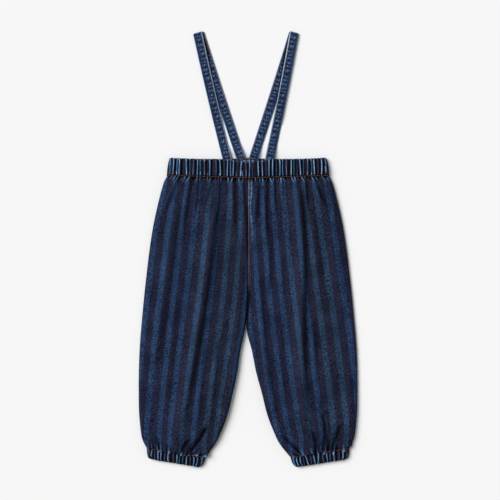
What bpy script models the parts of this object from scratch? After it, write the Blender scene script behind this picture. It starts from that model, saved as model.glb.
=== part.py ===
"""A toddler's pull-on trousers in striped denim, with two narrow shoulder straps, laid flat, front up.

The front and back panels lie on each other and turn up to meet at the side seams, like a tube pressed
flat. The waist and the ankles are gathered into elastic casings, each a front half over a back half.
Each strap is one strip: it comes out of the front of the waist, folds over at the top and runs back
underneath to the back of the waist.

Everything is in metres. The garment lies on z = 0, +X is towards the wearer's left, +Y runs up
towards the straps, and the origin is under the middle of the whole. The centre-front seam is at x = 0.
"""

import bmesh
import bpy
import numpy as np

# Cloth and seams
WALL = 0.0014  # one layer of denim
CASING = 0.0030  # a casing: two layers of denim over the elastic
SEAM_GAP = 0.0003  # between pieces that meet at a seam
EDGE_RADIUS = 0.0060  # how far in from an edge the cloth is still turning over
EDGE_TURN = np.radians([0, 30, 60])  # the columns round that turned edge, from the seam inwards

# The leg panels, from the waist seam (first row) to the cuff seam (last row). The side seam is at
# side_x, side_y and its height is side_z. The inner edge, first the centre seam and then the inside
# leg, is at inner_right or inner_left and inner_y, and where it turns over its height is inner_z. The
# centre seam leans a little, so the two legs part off the middle. crown is the height of the front
# panel near the side, and lean is how much higher it lies near the inner edge. gather is how far the
# fine gathers stand up. roll is 0 where the inner edge is a flat seam and 1 where it turns over.
LEG_COLUMNS = ("side_x", "side_y", "side_z", "inner_right", "inner_left", "inner_y", "inner_z",
               "crown", "lean", "gather", "roll")
LEG_ROWS = np.array([
    (0.1103, 0.1004, 0.0040, 0.00015, 0.00015, 0.0971, 0.0040, 0.0066, 0.0000, 0.0014, 0.0),
    (0.1151, 0.0900, 0.0038, 0.00015, 0.00015, 0.0865, 0.0038, 0.0066, 0.0000, 0.0021, 0.0),
    (0.1214, 0.0670, 0.0034, 0.00015, 0.00015, 0.0625, 0.0034, 0.0064, 0.0000, 0.0012, 0.0),
    (0.1289, 0.0330, 0.0031, 0.00015, 0.00015, 0.0280, 0.0031, 0.0059, 0.0000, 0.0005, 0.0),
    (0.1344, -0.0030, 0.0030, 0.00015, 0.00015, -0.0080, 0.0030, 0.0055, 0.0000, 0.0002, 0.0),
    (0.1382, -0.0350, 0.0030, 0.00020, 0.00010, -0.0400, 0.0030, 0.0052, 0.0002, 0.0001, 0.0),
    (0.1412, -0.0620, 0.0030, 0.00110, -0.00050, -0.0650, 0.0032, 0.0051, 0.0006, 0.0000, 0.3),
    (0.1446, -0.0980, 0.0030, 0.00500, -0.00220, -0.1050, 0.0040, 0.0052, 0.0014, 0.0000, 1.0),
    (0.1471, -0.1290, 0.0030, 0.01030, 0.00520, -0.1370, 0.0046, 0.0054, 0.0021, 0.0000, 1.0),
    (0.1484, -0.1600, 0.0030, 0.01450, 0.01100, -0.1660, 0.0049, 0.0057, 0.0025, 0.0001, 1.0),
    (0.1487, -0.1900, 0.0031, 0.02070, 0.01880, -0.1950, 0.0050, 0.0062, 0.0025, 0.0003, 1.0),
    (0.1482, -0.2200, 0.0032, 0.02800, 0.02650, -0.2250, 0.0048, 0.0068, 0.0021, 0.0009, 1.0),
    (0.1456, -0.2480, 0.0034, 0.03940, 0.03800, -0.2540, 0.0042, 0.0074, 0.0012, 0.0020, 1.0),
    (0.1430, -0.2590, 0.0034, 0.04680, 0.04550, -0.2670, 0.0037, 0.0071, 0.0004, 0.0023, 1.0),
    (0.1384, -0.2680, 0.0032, 0.05760, 0.05700, -0.2810, 0.0032, 0.0056, 0.0000, 0.0014, 1.0),
])
FRONT_STEPS = (0, 0.5, 1, 1.5, 2, 2.5, 3, 3.5, 4, 5, 6, 7, 8, 9, 10, 11, 12, 12.5, 13, 13.5, 14)
BACK_STEPS = (0, 2, 4, 6, 7, 8, 10, 12, 13, 14)  # a back panel has fewer rows, as it lies plain
BACK_PLACES = np.linspace(0, 1, 7)  # columns across the back pieces between their turned edges
WAIST_GATHERS_END, CUFF_GATHERS_START = -0.02, -0.20  # between these one set runs into the other

# The gathers across a half, from the side (0) to the middle or the inside leg (1): where each crest
# is, and how tall it is beside the others.
WAIST_GATHERS = {
    "right": np.array([
        (0.030, 0.80), (0.095, 1.00), (0.178, 1.15), (0.245, 0.70), (0.315, 1.10), (0.368, 0.70),
        (0.425, 1.05), (0.486, 1.10), (0.562, 1.05), (0.622, 0.90), (0.715, 1.15), (0.792, 0.95),
        (0.898, 1.10), (0.968, 0.90),
    ]),
    "left": np.array([
        (0.035, 1.00), (0.125, 1.05), (0.192, 1.10), (0.265, 0.70), (0.328, 1.10), (0.418, 0.95),
        (0.486, 1.00), (0.545, 0.90), (0.600, 1.05), (0.675, 1.10), (0.740, 0.85), (0.812, 1.10),
        (0.870, 0.90), (0.965, 0.95),
    ]),
}
CUFF_GATHERS = {
    "right": np.array([
        (0.035, 0.90), (0.090, 1.00), (0.160, 0.80), (0.225, 1.10), (0.300, 0.80), (0.375, 1.10),
        (0.450, 0.75), (0.530, 1.10), (0.610, 0.80), (0.690, 1.15), (0.755, 0.70), (0.825, 1.05),
        (0.890, 0.90), (0.960, 0.95),
    ]),
    "left": np.array([
        (0.040, 0.90), (0.095, 1.05), (0.165, 0.80), (0.255, 1.10), (0.330, 0.75), (0.385, 1.10),
        (0.445, 0.75), (0.520, 1.15), (0.590, 1.05), (0.650, 0.75), (0.720, 1.10), (0.790, 0.80),
        (0.865, 1.05), (0.950, 1.00),
    ]),
}
COLUMNS_PER_GATHER = 4

# The long folds of the front panels. A fold's crest runs down from from_y to to_y, through the four
# x's at equal steps on the way. It stands rise above the cloth beside it, or lies as far below it where
# rise is negative, and is nearly level again at these distances to the left and the right of the crest.
FOLD_COLUMNS = ("from_y", "to_y", "x_0", "x_1", "x_2", "x_3", "left", "right", "rise")
FOLDS = {
    "right": np.array([
        (0.111, 0.038, -0.091, -0.101, -0.111, -0.120, 0.004, 0.004, 0.0010),
        (0.111, 0.000, -0.077, -0.084, -0.089, -0.092, 0.004, 0.005, 0.0013),
        (0.111, 0.033, -0.068, -0.070, -0.073, -0.077, 0.004, 0.003, 0.0009),
        (0.111, 0.016, -0.042, -0.042, -0.045, -0.053, 0.004, 0.005, 0.0013),
        (0.061, -0.274, -0.045, -0.062, -0.081, -0.098, 0.015, 0.008, 0.0026),
        (0.068, -0.170, -0.096, -0.108, -0.120, -0.132, 0.012, 0.008, 0.0016),
        (0.111, 0.014, -0.021, -0.021, -0.020, -0.017, 0.004, 0.004, 0.0012),
        (0.111, -0.016, -0.012, -0.006, -0.004, -0.003, 0.004, 0.003, 0.0009),
        (-0.016, -0.258, -0.009, -0.015, -0.025, -0.042, 0.009, 0.007, 0.0010),
        (-0.236, -0.280, -0.055, -0.063, -0.074, -0.089, 0.004, 0.004, -0.0020),
        (-0.250, -0.280, -0.125, -0.123, -0.122, -0.121, 0.003, 0.003, -0.0010),
    ]),
    "left": np.array([
        (0.111, 0.019, 0.015, 0.012, 0.009, 0.006, 0.004, 0.004, 0.0010),
        (0.111, 0.000, 0.024, 0.023, 0.023, 0.025, 0.004, 0.004, 0.0012),
        (0.111, 0.046, 0.033, 0.034, 0.035, 0.036, 0.003, 0.003, 0.0009),
        (0.111, -0.282, 0.063, 0.073, 0.073, 0.087, 0.014, 0.007, 0.0026),
        (0.111, 0.043, 0.086, 0.091, 0.101, 0.112, 0.004, 0.004, 0.0012),
        (0.048, -0.129, 0.112, 0.120, 0.126, 0.131, 0.010, 0.008, 0.0009),
        (-0.024, -0.251, 0.014, 0.018, 0.027, 0.044, 0.007, 0.006, 0.0013),
        (0.038, -0.068, 0.025, 0.028, 0.027, 0.022, 0.004, 0.005, 0.0009),
        (-0.215, -0.282, 0.095, 0.102, 0.104, 0.100, 0.005, 0.003, -0.0016),
        (-0.234, -0.280, 0.127, 0.121, 0.117, 0.114, 0.004, 0.004, -0.0015),
        (-0.250, -0.285, 0.047, 0.057, 0.067, 0.076, 0.004, 0.004, -0.0012),
    ]),
}
FOLD_START = (0.00, 0.12)  # a fold comes in between these parts of its length
FOLD_FADE = (0.60, 1.00)  # and fades out between these

# The waistband, from the seam with the legs (first row) to its top edge. Its middle is at front_y on
# the front half and at back_y on the back half. dip is 0 where the row slopes evenly to the middle and
# 1 where it only sags a little and then dips near the middle. crown is the front casing's height.
BAND_COLUMNS = ("side_x", "side_y", "front_y", "back_y", "dip", "crown", "gather")
BAND_ROWS = np.array([
    (0.1106, 0.1007, 0.0974, 0.0974, 0.0, 0.0074, 0.0008),
    (0.1102, 0.1040, 0.1006, 0.1010, 0.2, 0.0082, 0.0013),
    (0.1095, 0.1120, 0.1080, 0.1100, 0.6, 0.0084, 0.0014),
    (0.1079, 0.1205, 0.1155, 0.1198, 1.0, 0.0081, 0.0012),
    (0.1068, 0.1239, 0.1184, 0.1238, 1.0, 0.0073, 0.0007),
    (0.1054, 0.1252, 0.1196, 0.1252, 1.0, 0.0065, 0.0002),
])
BAND_DIP = (0.60, 1.00)  # the dip starts and is full at these parts of the way to the middle
BAND_SAG = 0.0015  # how far the top edge hangs between its corners and the middle
BAND_SEAM_Z = 0.00405
BAND_FRONT_Z = 0.0051  # the inside of the front casing; a strap's end fits between it and the back one

# The cuffs, from the seam with the leg (first row) to the open lower edge.
CUFF_COLUMNS = ("side_x", "side_y", "inner_x", "inner_y", "crown", "gather")
CUFF_ROWS = np.array([
    (0.1383, -0.2683, 0.0576, -0.2813, 0.0058, 0.0011),
    (0.1377, -0.2715, 0.0582, -0.2840, 0.0064, 0.0016),
    (0.1370, -0.2780, 0.0602, -0.2895, 0.0065, 0.0016),
    (0.1355, -0.2823, 0.0629, -0.2932, 0.0058, 0.0012),
    (0.1316, -0.2847, 0.0669, -0.2952, 0.0047, 0.0005),
])
CUFF_SEAM_Z = 0.00315
CUFF_FRONT_Z = 0.0033  # the inside of the front casing, on the back one

# The straps: the strip's middle at the waist's top edge on the front and back runs, how far each run
# bows sideways half way up, and the middle of the fold at the top.
STRAP_WIDTH = 0.0123
STRAP_WALL = 0.0015
STRAPS = {
    "strap_right": {"front": (-0.0287, -0.0008), "back": (-0.0093, -0.0008), "fold": (-0.0687, 0.2946)},
    "strap_left": {"front": (0.0295, 0.0008), "back": (0.0071, 0.0004), "fold": (0.0629, 0.2948)},
}
WAIST_TOP = 0.1249
FRONT_TUCK, BACK_TUCK = 0.015, 0.006  # how far each end goes down inside the waistband
STRAP_WAIST_Z = 0.00405  # height of the strip's middle inside the waistband
STRAP_FRONT_Z = 0.00255  # and on the front run, where it lies on the back run
STRAP_BACK_Z = STRAP_WALL / 2  # and where a run lies on the ground
SETTLE = (0.001, 0.022)  # between these distances from the waist a run comes down to the ground
MEET = (0.042, 0.058)  # and between these the front run goes up on the back run
STRAP_FOLD_STEPS = 6

# Each piece's colour, roughness and metallic value
DENIM_FRONT = (0.030, 0.050, 0.115)
DENIM_BACK = (0.027, 0.045, 0.105)
DENIM_CASING = (0.038, 0.062, 0.130)
DENIM_STRAP = (0.034, 0.056, 0.122)
DENIM_ROUGHNESS = 0.92
DENIM_METALLIC = 0.0

WAYS = {"right": -1, "left": 1}  # which way along X the wearer's right and left are


def cloth(name, colour):
    """A plain dyed cloth."""
    material = bpy.data.materials.new(name)
    material.use_nodes = True
    shader = material.node_tree.nodes["Principled BSDF"]
    shader.inputs["Base Color"].default_value = (*colour, 1.0)
    shader.inputs["Roughness"].default_value = DENIM_ROUGHNESS
    shader.inputs["Metallic"].default_value = DENIM_METALLIC
    return material


def read_rows(rows, columns, steps):
    """The table's columns, read at fractional row numbers on a smooth curve through its rows."""
    last = len(rows) - 1
    steps = np.asarray(steps, dtype=float)
    low = np.clip(np.floor(steps).astype(int), 0, last - 1)
    t = (steps - low)[:, None]
    before, start = rows[np.clip(low - 1, 0, last)], rows[low]
    end, after = rows[low + 1], rows[np.clip(low + 2, 0, last)]
    curve = 0.5 * (2 * start + (end - before) * t + (2 * before - 5 * start + 4 * end - after) * t**2
                   + (3 * start - before - 3 * end + after) * t**3)
    return {name: curve[:, [i]] for i, name in enumerate(columns)}


def smooth_step(value, start, end):
    """0 before start, 1 after end, and a smooth rise between them."""
    t = np.clip((value - start) / (end - start), 0, 1)
    return t * t * (3 - 2 * t)


def gather_columns(gathers):
    """The columns that a gathered edge needs: each one's place, and its height, 0 in the valleys.

    There are COLUMNS_PER_GATHER from one valley to the next, and the height follows a cosine between
    them, as tall at the crest as the table says.
    """
    crests, heights = gathers.T
    turns = np.empty(2 * len(crests) + 1)
    turns[1::2] = crests
    turns[2:-1:2] = (crests[:-1] + crests[1:]) / 2
    turns[0], turns[-1] = 0.0, 1.0
    steps = np.linspace(0, len(turns) - 1, COLUMNS_PER_GATHER * len(crests) + 1)
    places = np.interp(steps, np.arange(len(turns)), turns)
    return places, (0.5 - 0.5 * np.cos(np.pi * steps)) * np.interp(places, crests, heights)


def fold_rise(folds, x, y):
    """How far the long folds lift the cloth at these points of a panel.

    A crest's line is the cubic through its four x's. Beside it the lift falls as exp(-(away / width)^2).
    """
    fold = dict(zip(FOLD_COLUMNS, folds.T[:, :, None, None]))
    along = (fold["from_y"] - y) / (fold["from_y"] - fold["to_y"])
    t = 3 * np.clip(along, 0, 1)
    crest = (3 * t * (t - 3) * (fold["x_1"] * (t - 2) - fold["x_2"] * (t - 1))
             + (t - 1) * (t - 2) * (fold["x_3"] * t - fold["x_0"] * (t - 3))) / 6
    away = (x - crest) / np.where(x < crest, fold["left"], fold["right"])
    strength = smooth_step(along, *FOLD_START) * (1 - smooth_step(along, *FOLD_FADE))
    return (fold["rise"] * strength * np.exp(-away**2)).sum(axis=0)


def turned_edges(values, at_a, at_b):
    """The same columns with those of the two turned edges added, which hold the values at_a and at_b."""
    edge = np.ones(values.shape[:-1] + (len(EDGE_TURN),))
    return np.concatenate([edge * at_a, values, edge * at_b], axis=-1)


def pressed_half(edge_a, edge_b, places, over, under, roll_b, up):
    """The outer and inner skin of one half of a tube pressed flat, as two grids of points.

    edge_a and edge_b are the x, y and z of the two edges, row by row, and places are the columns
    between their turned parts. There the skins are at the heights over and under. Edge a turns over to
    meet the other half at its z: the outer skin on a quarter arc EDGE_RADIUS wide, the inner one on a
    smaller arc inside it. Edge b does so as far as roll_b says. up is 1 for the half on top and -1 for
    the one below.
    """
    width = np.abs(edge_b[0] - edge_a[0])
    places = np.broadcast_to(places, (len(width), places.shape[-1]))
    turn_in, rise = 1 - np.cos(EDGE_TURN), np.sin(EDGE_TURN)
    level = np.ones(places.shape[-1] + len(EDGE_TURN))
    lift = np.append(rise, level) * (1 - roll_b * (1 - np.append(level, rise[::-1])))
    rim = edge_a[2] + (edge_b[2] - edge_a[2]) * turned_edges(places, 0, 1) + up * SEAM_GAP / 2
    skins = []
    for height, inset in ((over, 0.0), (under, WALL)):
        near = inset + (EDGE_RADIUS - inset) * turn_in + 0 * width
        middle = EDGE_RADIUS + places * (width - 2 * EDGE_RADIUS)
        far = width - inset * roll_b - (EDGE_RADIUS - inset * roll_b) * turn_in[::-1]
        across = np.hstack([near, middle, far]) / width
        x = edge_a[0] + (edge_b[0] - edge_a[0]) * across
        y = edge_a[1] + (edge_b[1] - edge_a[1]) * across
        z = rim + (height - rim) * lift
        skins.append(np.stack([x, y, z], axis=-1))
    return skins


def solid_between(name, outer, inner, material):
    """One closed wall between two grids of points that have the same rows and columns."""
    rows, columns = outer.shape[:2]
    count = rows * columns
    index = np.arange(count).reshape(rows, columns)
    corners = (index[:-1, :-1], index[:-1, 1:], index[1:, 1:], index[1:, :-1])
    outside = np.stack([corner.ravel() for corner in corners], axis=1)
    rim = np.concatenate([index[0, :], index[1:, -1], index[-1, -2::-1], index[-2::-1, 0]])
    edge = np.stack([rim[1:], rim[:-1], rim[:-1] + count, rim[1:] + count], axis=1)
    faces = np.concatenate([outside, outside[:, ::-1] + count, edge])
    mesh = bpy.data.meshes.new(name)
    points = np.concatenate([outer.reshape(-1, 3), inner.reshape(-1, 3)])
    mesh.from_pydata(points.tolist(), [], faces.tolist())
    shape = bmesh.new()
    shape.from_mesh(mesh)
    bmesh.ops.recalc_face_normals(shape, faces=shape.faces)
    shape.to_mesh(mesh)
    shape.free()
    mesh.shade_smooth()
    mesh.set_sharp_from_angle(angle=np.radians(50))
    mesh.materials.append(material)
    GARMENT.objects.link(bpy.data.objects.new(name, mesh))


def leg_edges(row, word):
    """The side seam and the inner edge of a leg, each as its x, y and z."""
    way = WAYS[word]
    side = way * row["side_x"], row["side_y"], row["side_z"]
    return side, (way * row[f"inner_{word}"], row["inner_y"], row["inner_z"])


def leg_front(name, word, material):
    """A front panel. Its columns run from the gathers of the waist down to those of the cuff."""
    row = read_rows(LEG_ROWS, LEG_COLUMNS, FRONT_STEPS)
    to_cuff = 1 - smooth_step(row["side_y"], CUFF_GATHERS_START, WAIST_GATHERS_END)
    waist, ankle = gather_columns(WAIST_GATHERS[word]), gather_columns(CUFF_GATHERS[word])
    places, wave = (top + (foot - top) * to_cuff for top, foot in zip(waist, ankle))
    at = turned_edges(places, 0, 1)
    side, inner = leg_edges(row, word)
    x, y = (from_side + (to_inner - from_side) * at for from_side, to_inner in zip(side[:2], inner[:2]))
    over = row["crown"] + row["lean"] * at + row["gather"] * turned_edges(wave, 0, 0)
    over = over + fold_rise(FOLDS[word], x, y)
    skins = pressed_half(side, inner, places, over, over - WALL, row["roll"], 1)
    solid_between(name, *skins, material)


def leg_back(name, word, material):
    """A back panel, flat on the ground, whose edges turn up to the front panel's."""
    row = read_rows(LEG_ROWS, LEG_COLUMNS, BACK_STEPS)
    skins = pressed_half(*leg_edges(row, word), BACK_PLACES, 0.0, WALL, row["roll"], -1)
    solid_between(name, *skins, material)


def waistband(name, front, material):
    """Half of the waist's casing, from side seam to side seam."""
    row = read_rows(BAND_ROWS, BAND_COLUMNS, range(len(BAND_ROWS)))
    if front:
        (right, right_wave), (left, left_wave) = (gather_columns(WAIST_GATHERS[word]) for word in WAYS)
        places = np.concatenate([right / 2, 1 - left[-2::-1] / 2])
        wave = turned_edges(np.concatenate([right_wave, left_wave[-2::-1]]), 0, 0)
        over, under, middle_y = row["crown"] + row["gather"] * wave, BAND_FRONT_Z, row["front_y"]
    else:
        places = np.linspace(0, 1, 3 * len(BACK_PLACES))
        over, under, middle_y = 0.0, CASING, row["back_y"]
    edges = [(way * row["side_x"], row["side_y"], BAND_SEAM_Z) for way in WAYS.values()]
    skins = pressed_half(*edges, places, over, under, 1.0, 1 if front else -1)
    for skin in skins:
        way_in = 1 - np.abs(skin[..., 0]) / row["side_x"]
        drop = (1 - row["dip"]) * way_in + row["dip"] * smooth_step(way_in, *BAND_DIP)
        sag = BAND_SAG * row["dip"] * np.sin(np.pi * np.clip(way_in, 0, 1))
        skin[..., 1] += (middle_y - row["side_y"]) * drop - sag
    solid_between(name, *skins, material)


def cuff(name, word, front, material):
    """Half of one cuff's casing."""
    row = read_rows(CUFF_ROWS, CUFF_COLUMNS, range(len(CUFF_ROWS)))
    if front:
        places, wave = gather_columns(CUFF_GATHERS[word])
        over, under = row["crown"] + row["gather"] * turned_edges(wave, 0, 0), CUFF_FRONT_Z
    else:
        places, over, under = BACK_PLACES, 0.0, CASING
    way = WAYS[word]
    edge_a = way * row["side_x"], row["side_y"], CUFF_SEAM_Z
    edge_b = way * row["inner_x"], row["inner_y"], CUFF_SEAM_Z
    skins = pressed_half(edge_a, edge_b, places, over, under, 1.0, 1 if front else -1)
    solid_between(name, *skins, material)


def run_down(start, waist_x, bow, tuck, run_z):
    """The middle of a strap's run from the fold to the waist and on inside it: x, y and height."""
    waist = np.array([waist_x, WAIST_TOP])
    length = np.linalg.norm(waist - start)
    steps = np.linspace(length, MEET[1], 6), np.linspace(*MEET[::-1], 5)[1:], np.linspace(SETTLE[1], 0, 7)
    from_waist = np.concatenate([*steps, [-tuck / 2, -tuck]])
    plan = waist - (waist - start) / length * from_waist[:, None]
    plan[:, 0] += bow * np.sin(np.pi * np.clip(from_waist / length, 0, 1))
    height = STRAP_WAIST_Z + (STRAP_BACK_Z - STRAP_WAIST_Z) * smooth_step(from_waist, *SETTLE)
    return np.column_stack([plan, height + (run_z - STRAP_BACK_Z) * smooth_step(from_waist, *MEET)])


def strap(name, front, back, fold, material):
    """One strip: up the front run, round the fold at the top, and down the back run under it."""
    top = np.array(fold)
    front = run_down(top, *front, FRONT_TUCK, STRAP_FRONT_Z)[::-1]
    back = run_down(top, *back, BACK_TUCK, STRAP_BACK_Z)
    up_front, up_back = (top - run[:2] for run in (front[0], back[-1]))
    ways = [way / np.linalg.norm(way) for way in (up_front, up_back)]
    away = (ways[0] + ways[1]) / np.linalg.norm(ways[0] + ways[1])
    radius = (STRAP_FRONT_Z - STRAP_BACK_Z) / 2
    turn = np.linspace(0, np.pi, STRAP_FOLD_STEPS + 1)[:, None]
    fold_line = np.hstack([top + away * radius * np.sin(turn), STRAP_BACK_Z + radius * (1 + np.cos(turn))])
    middle = np.concatenate([front[:-1], fold_line, back[1:]])
    # The way each row faces, level with the ground, and how far the strip has turned over
    counts = (len(front) - 1, len(fold_line), len(back) - 1)
    heading = np.repeat([ways[0], away, ways[1]], counts, axis=0)
    over = np.concatenate([np.zeros((counts[0], 1)), turn, np.full((counts[2], 1), np.pi)])
    out = np.hstack([heading * np.sin(over), np.cos(over)])
    across = np.column_stack([heading[:, 1], -heading[:, 0], np.zeros(len(heading))])
    spread = middle[:, None] + across[:, None] * np.array([-0.5, 0, 0.5])[:, None] * STRAP_WIDTH
    half_wall = out[:, None] * STRAP_WALL / 2
    solid_between(name, spread + half_wall, spread - half_wall, material)


for item in list(bpy.data.objects):
    bpy.data.objects.remove(item)
GARMENT = bpy.data.collections.new("strap_trousers")
bpy.context.scene.collection.children.link(GARMENT)

for word_of_side in WAYS:
    leg_front(f"leg_front_{word_of_side}", word_of_side, cloth(f"leg_front_{word_of_side}", DENIM_FRONT))
    leg_back(f"leg_back_{word_of_side}", word_of_side, cloth(f"leg_back_{word_of_side}", DENIM_BACK))
    for half, is_front in (("front", True), ("back", False)):
        label = f"cuff_{half}_{word_of_side}"
        cuff(label, word_of_side, is_front, cloth(label, DENIM_CASING))
for half, is_front in (("front", True), ("back", False)):
    waistband(f"waistband_{half}", is_front, cloth(f"waistband_{half}", DENIM_CASING))
for label, sizes in STRAPS.items():
    strap(label, **sizes, material=cloth(label, DENIM_STRAP))
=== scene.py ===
# %% [markdown]
# # Striped strap trousers, laid flat
#
# The garment is a toddler's pair of pull-on trousers in striped denim. It has an elastic waist, full
# legs that are gathered into cuffs, and two narrow shoulder straps. It lies on a table with its front
# up. The fixed frame holds its plain solids. Each cell below replaces some of them with finished cloth
# of the same form, and adds the sewing.

import bpy
import numpy as np
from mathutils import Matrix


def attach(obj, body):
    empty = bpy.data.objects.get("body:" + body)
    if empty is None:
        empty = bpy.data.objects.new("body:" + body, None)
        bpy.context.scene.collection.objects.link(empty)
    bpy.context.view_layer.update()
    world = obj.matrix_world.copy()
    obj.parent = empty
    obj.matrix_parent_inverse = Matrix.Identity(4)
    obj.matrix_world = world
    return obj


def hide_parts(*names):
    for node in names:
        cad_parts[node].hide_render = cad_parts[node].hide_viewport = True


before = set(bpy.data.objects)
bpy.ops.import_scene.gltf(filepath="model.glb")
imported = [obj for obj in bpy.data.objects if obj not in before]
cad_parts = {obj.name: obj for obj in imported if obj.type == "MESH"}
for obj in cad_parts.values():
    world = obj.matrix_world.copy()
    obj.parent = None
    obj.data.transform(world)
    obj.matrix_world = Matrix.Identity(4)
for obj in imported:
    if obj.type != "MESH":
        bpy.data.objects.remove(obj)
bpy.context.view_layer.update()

print("solids:", ", ".join(sorted(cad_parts)))

# %% [markdown]
# ## Camera
#
# The garment was laid out and looked at from straight above, so the camera hangs over it and looks
# down. It is a portrait lens from 1.6 m up, far enough for the picture to be nearly without
# perspective. A camera that isn't turned looks along -Z with +Y up, which is just what is needed.

# %% Camera
CAMERA_PLACE = (0.00265, 0.0, 1.608)

camera_data = bpy.data.cameras.new("camera_above")
camera_data.lens = 85
camera_data.sensor_width = 36
camera = bpy.data.objects.new("camera_above", camera_data)
camera.location = CAMERA_PLACE
bpy.context.scene.collection.objects.link(camera)
bpy.context.scene.camera = camera
print("camera", CAMERA_PLACE)

# %% [markdown]
# ## Floor and light
#
# The table is a matt, nearly white sheet. A white world lights everything evenly, and one soft lamp at
# the upper left gives the cloth its relief: the left flank of every fold is lit, and the right one is
# in shade. A sun lamp with a wide angle is as soft as a big studio light, and lights the whole table
# evenly, which a lamp nearby would not.

# %% Floor and light
FLOOR_HALF = 15.0
FLOOR_DROP = 0.0001
FLOOR_SHADE = 0.95
WORLD_LIGHT = 0.30
KEY_STRENGTH = 2.95
KEY_ANGLE = np.radians(42)
KEY_FROM = np.array([-0.60, 0.34, 0.72])  # the direction that the light comes from

floor_mesh = bpy.data.meshes.new("table_top")
corners = [(x * FLOOR_HALF, y * FLOOR_HALF, -FLOOR_DROP) for x, y in ((-1, -1), (1, -1), (1, 1), (-1, 1))]
floor_mesh.from_pydata(corners, [], [(0, 1, 2, 3)])
floor = bpy.data.objects.new("table_top", floor_mesh)
bpy.context.scene.collection.objects.link(floor)
floor_material = bpy.data.materials.new("white_table")
floor_material.use_nodes = True
floor_shader = floor_material.node_tree.nodes["Principled BSDF"]
floor_shader.inputs["Base Color"].default_value = (FLOOR_SHADE, FLOOR_SHADE, FLOOR_SHADE, 1)
floor_shader.inputs["Roughness"].default_value = 1.0
floor_shader.inputs["Specular IOR Level"].default_value = 0.0
floor_mesh.materials.append(floor_material)

world = bpy.data.worlds.new("white_room")
world.use_nodes = True
world.node_tree.nodes["Background"].inputs["Color"].default_value = (1, 1, 1, 1)
world.node_tree.nodes["Background"].inputs["Strength"].default_value = WORLD_LIGHT
bpy.context.scene.world = world

key_data = bpy.data.lights.new("soft_key", "SUN")
key_data.energy = KEY_STRENGTH
key_data.angle = KEY_ANGLE
key = bpy.data.objects.new("soft_key", key_data)
key.rotation_euler = (
    0.0,
    np.arccos(KEY_FROM[2] / np.linalg.norm(KEY_FROM)),
    np.arctan2(KEY_FROM[1], KEY_FROM[0]),
)
bpy.context.scene.collection.objects.link(key)
bpy.context.scene.view_settings.view_transform = "Standard"
bpy.context.scene.view_settings.look = "None"
print("light from", np.round(KEY_FROM / np.linalg.norm(KEY_FROM), 2))

# %% [markdown]
# ## Curves through tables
#
# A pattern cutter writes a pattern as a few measured rows. Here it is the same: each table has a row
# for each height on the garment, and the rows between are read on a smooth curve through them. All the
# arithmetic is done on whole numpy arrays.

# %% Helpers for tables and fades
MM = 0.001


def read_rows(rows, columns, steps):
    """The table's columns, read at fractional row numbers.

    Between two rows this is the Catmull-Rom cubic: it passes through both, and at each row its slope
    is half the difference between the rows before and after.
    """
    last = len(rows) - 1
    steps = np.asarray(steps, dtype=float)
    low = np.clip(np.floor(steps).astype(int), 0, last - 1)
    t = (steps - low)[:, None]
    before, start = rows[np.clip(low - 1, 0, last)], rows[low]
    end, after = rows[low + 1], rows[np.clip(low + 2, 0, last)]
    curve = 0.5 * (2 * start + (end - before) * t + (2 * before - 5 * start + 4 * end - after) * t**2
                   + (3 * start - before - 3 * end + after) * t**3)
    return {name: curve[:, [i]] for i, name in enumerate(columns)}


def smooth_step(value, start, end):
    """0 before start, 1 after end, and between them 3t^2 - 2t^3 of the way t."""
    t = np.clip((value - start) / (end - start), 0, 1)
    return t * t * (3 - 2 * t)


def bell(distance, half, power=2):
    """exp(-(distance / half)^power): 1 at no distance, and next to nothing from twice the half on."""
    return np.exp(-(distance / half)**power)


def ripple(x, y, waves):
    """A gentle unevenness, about -1 to 1: the mean of sines that cross the cloth at odd angles.

    Each wave is its length in x, its length in y and its phase.
    """
    return sum(np.sin(2 * np.pi * (x / a + y / b) + c) for a, b, c in waves) / len(waves)


# %% [markdown]
# ## Walls from grids
#
# Cloth has two faces and a thickness. Every piece is made as two grids of points, its outer and its
# inner face, with the same rows and columns. Quads join the points of each grid, and a band of quads
# round the rim joins the grids, so that each piece is one closed wall. The sum of the corners' triple
# products is six times the volume that the faces enclose. If it is negative, the faces point inwards,
# and all of them are turned round.
#
# Every point also carries three numbers for the finish: where it lies across the stripes, how worn it is,
# with painted highlights added to the wear, and how much painted shade it has, in creases and beside seams.

# %% Helpers for walls
SHARP_ANGLE = np.radians(60)  # faces that meet at more than this are shaded with an edge between them


def wall_faces(rows, columns):
    """The quads of a closed wall between two grids of rows by columns, the outer grid's points first."""
    count = rows * columns
    index = np.arange(count).reshape(rows, columns)
    corners = (index[:-1, :-1], index[:-1, 1:], index[1:, 1:], index[1:, :-1])
    outside = np.stack([corner.ravel() for corner in corners], axis=1)
    rim = np.concatenate([index[0, :], index[1:, -1], index[-1, -2::-1], index[-2::-1, 0]])
    edge = np.stack([rim[1:], rim[:-1], rim[:-1] + count, rim[1:] + count], axis=1)
    return np.concatenate([outside, outside[:, ::-1] + count, edge])


def facing_out(points, faces):
    """The faces, turned round if the volume that they enclose comes out negative."""
    a, b, c, d = (points[faces[:, i]] for i in range(4))
    volume = (a * (np.cross(b, c) + np.cross(c, d))).sum()
    return faces if volume > 0 else faces[:, ::-1]


def add_mesh(name, points, faces, material, marks=None):
    """A mesh object at the origin, with its marks as attributes of its points."""
    mesh = bpy.data.meshes.new(name)
    mesh.from_pydata(points.tolist(), [], faces.tolist())
    for label, values in (marks or {}).items():
        attribute = mesh.attributes.new(label, "FLOAT", "POINT")
        attribute.data.foreach_set("value", np.ascontiguousarray(values, dtype=np.float32).ravel())
    mesh.shade_smooth()
    mesh.set_sharp_from_angle(angle=SHARP_ANGLE)
    mesh.materials.append(material)
    piece = bpy.data.objects.new(name, mesh)
    bpy.context.scene.collection.objects.link(piece)
    return piece


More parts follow.
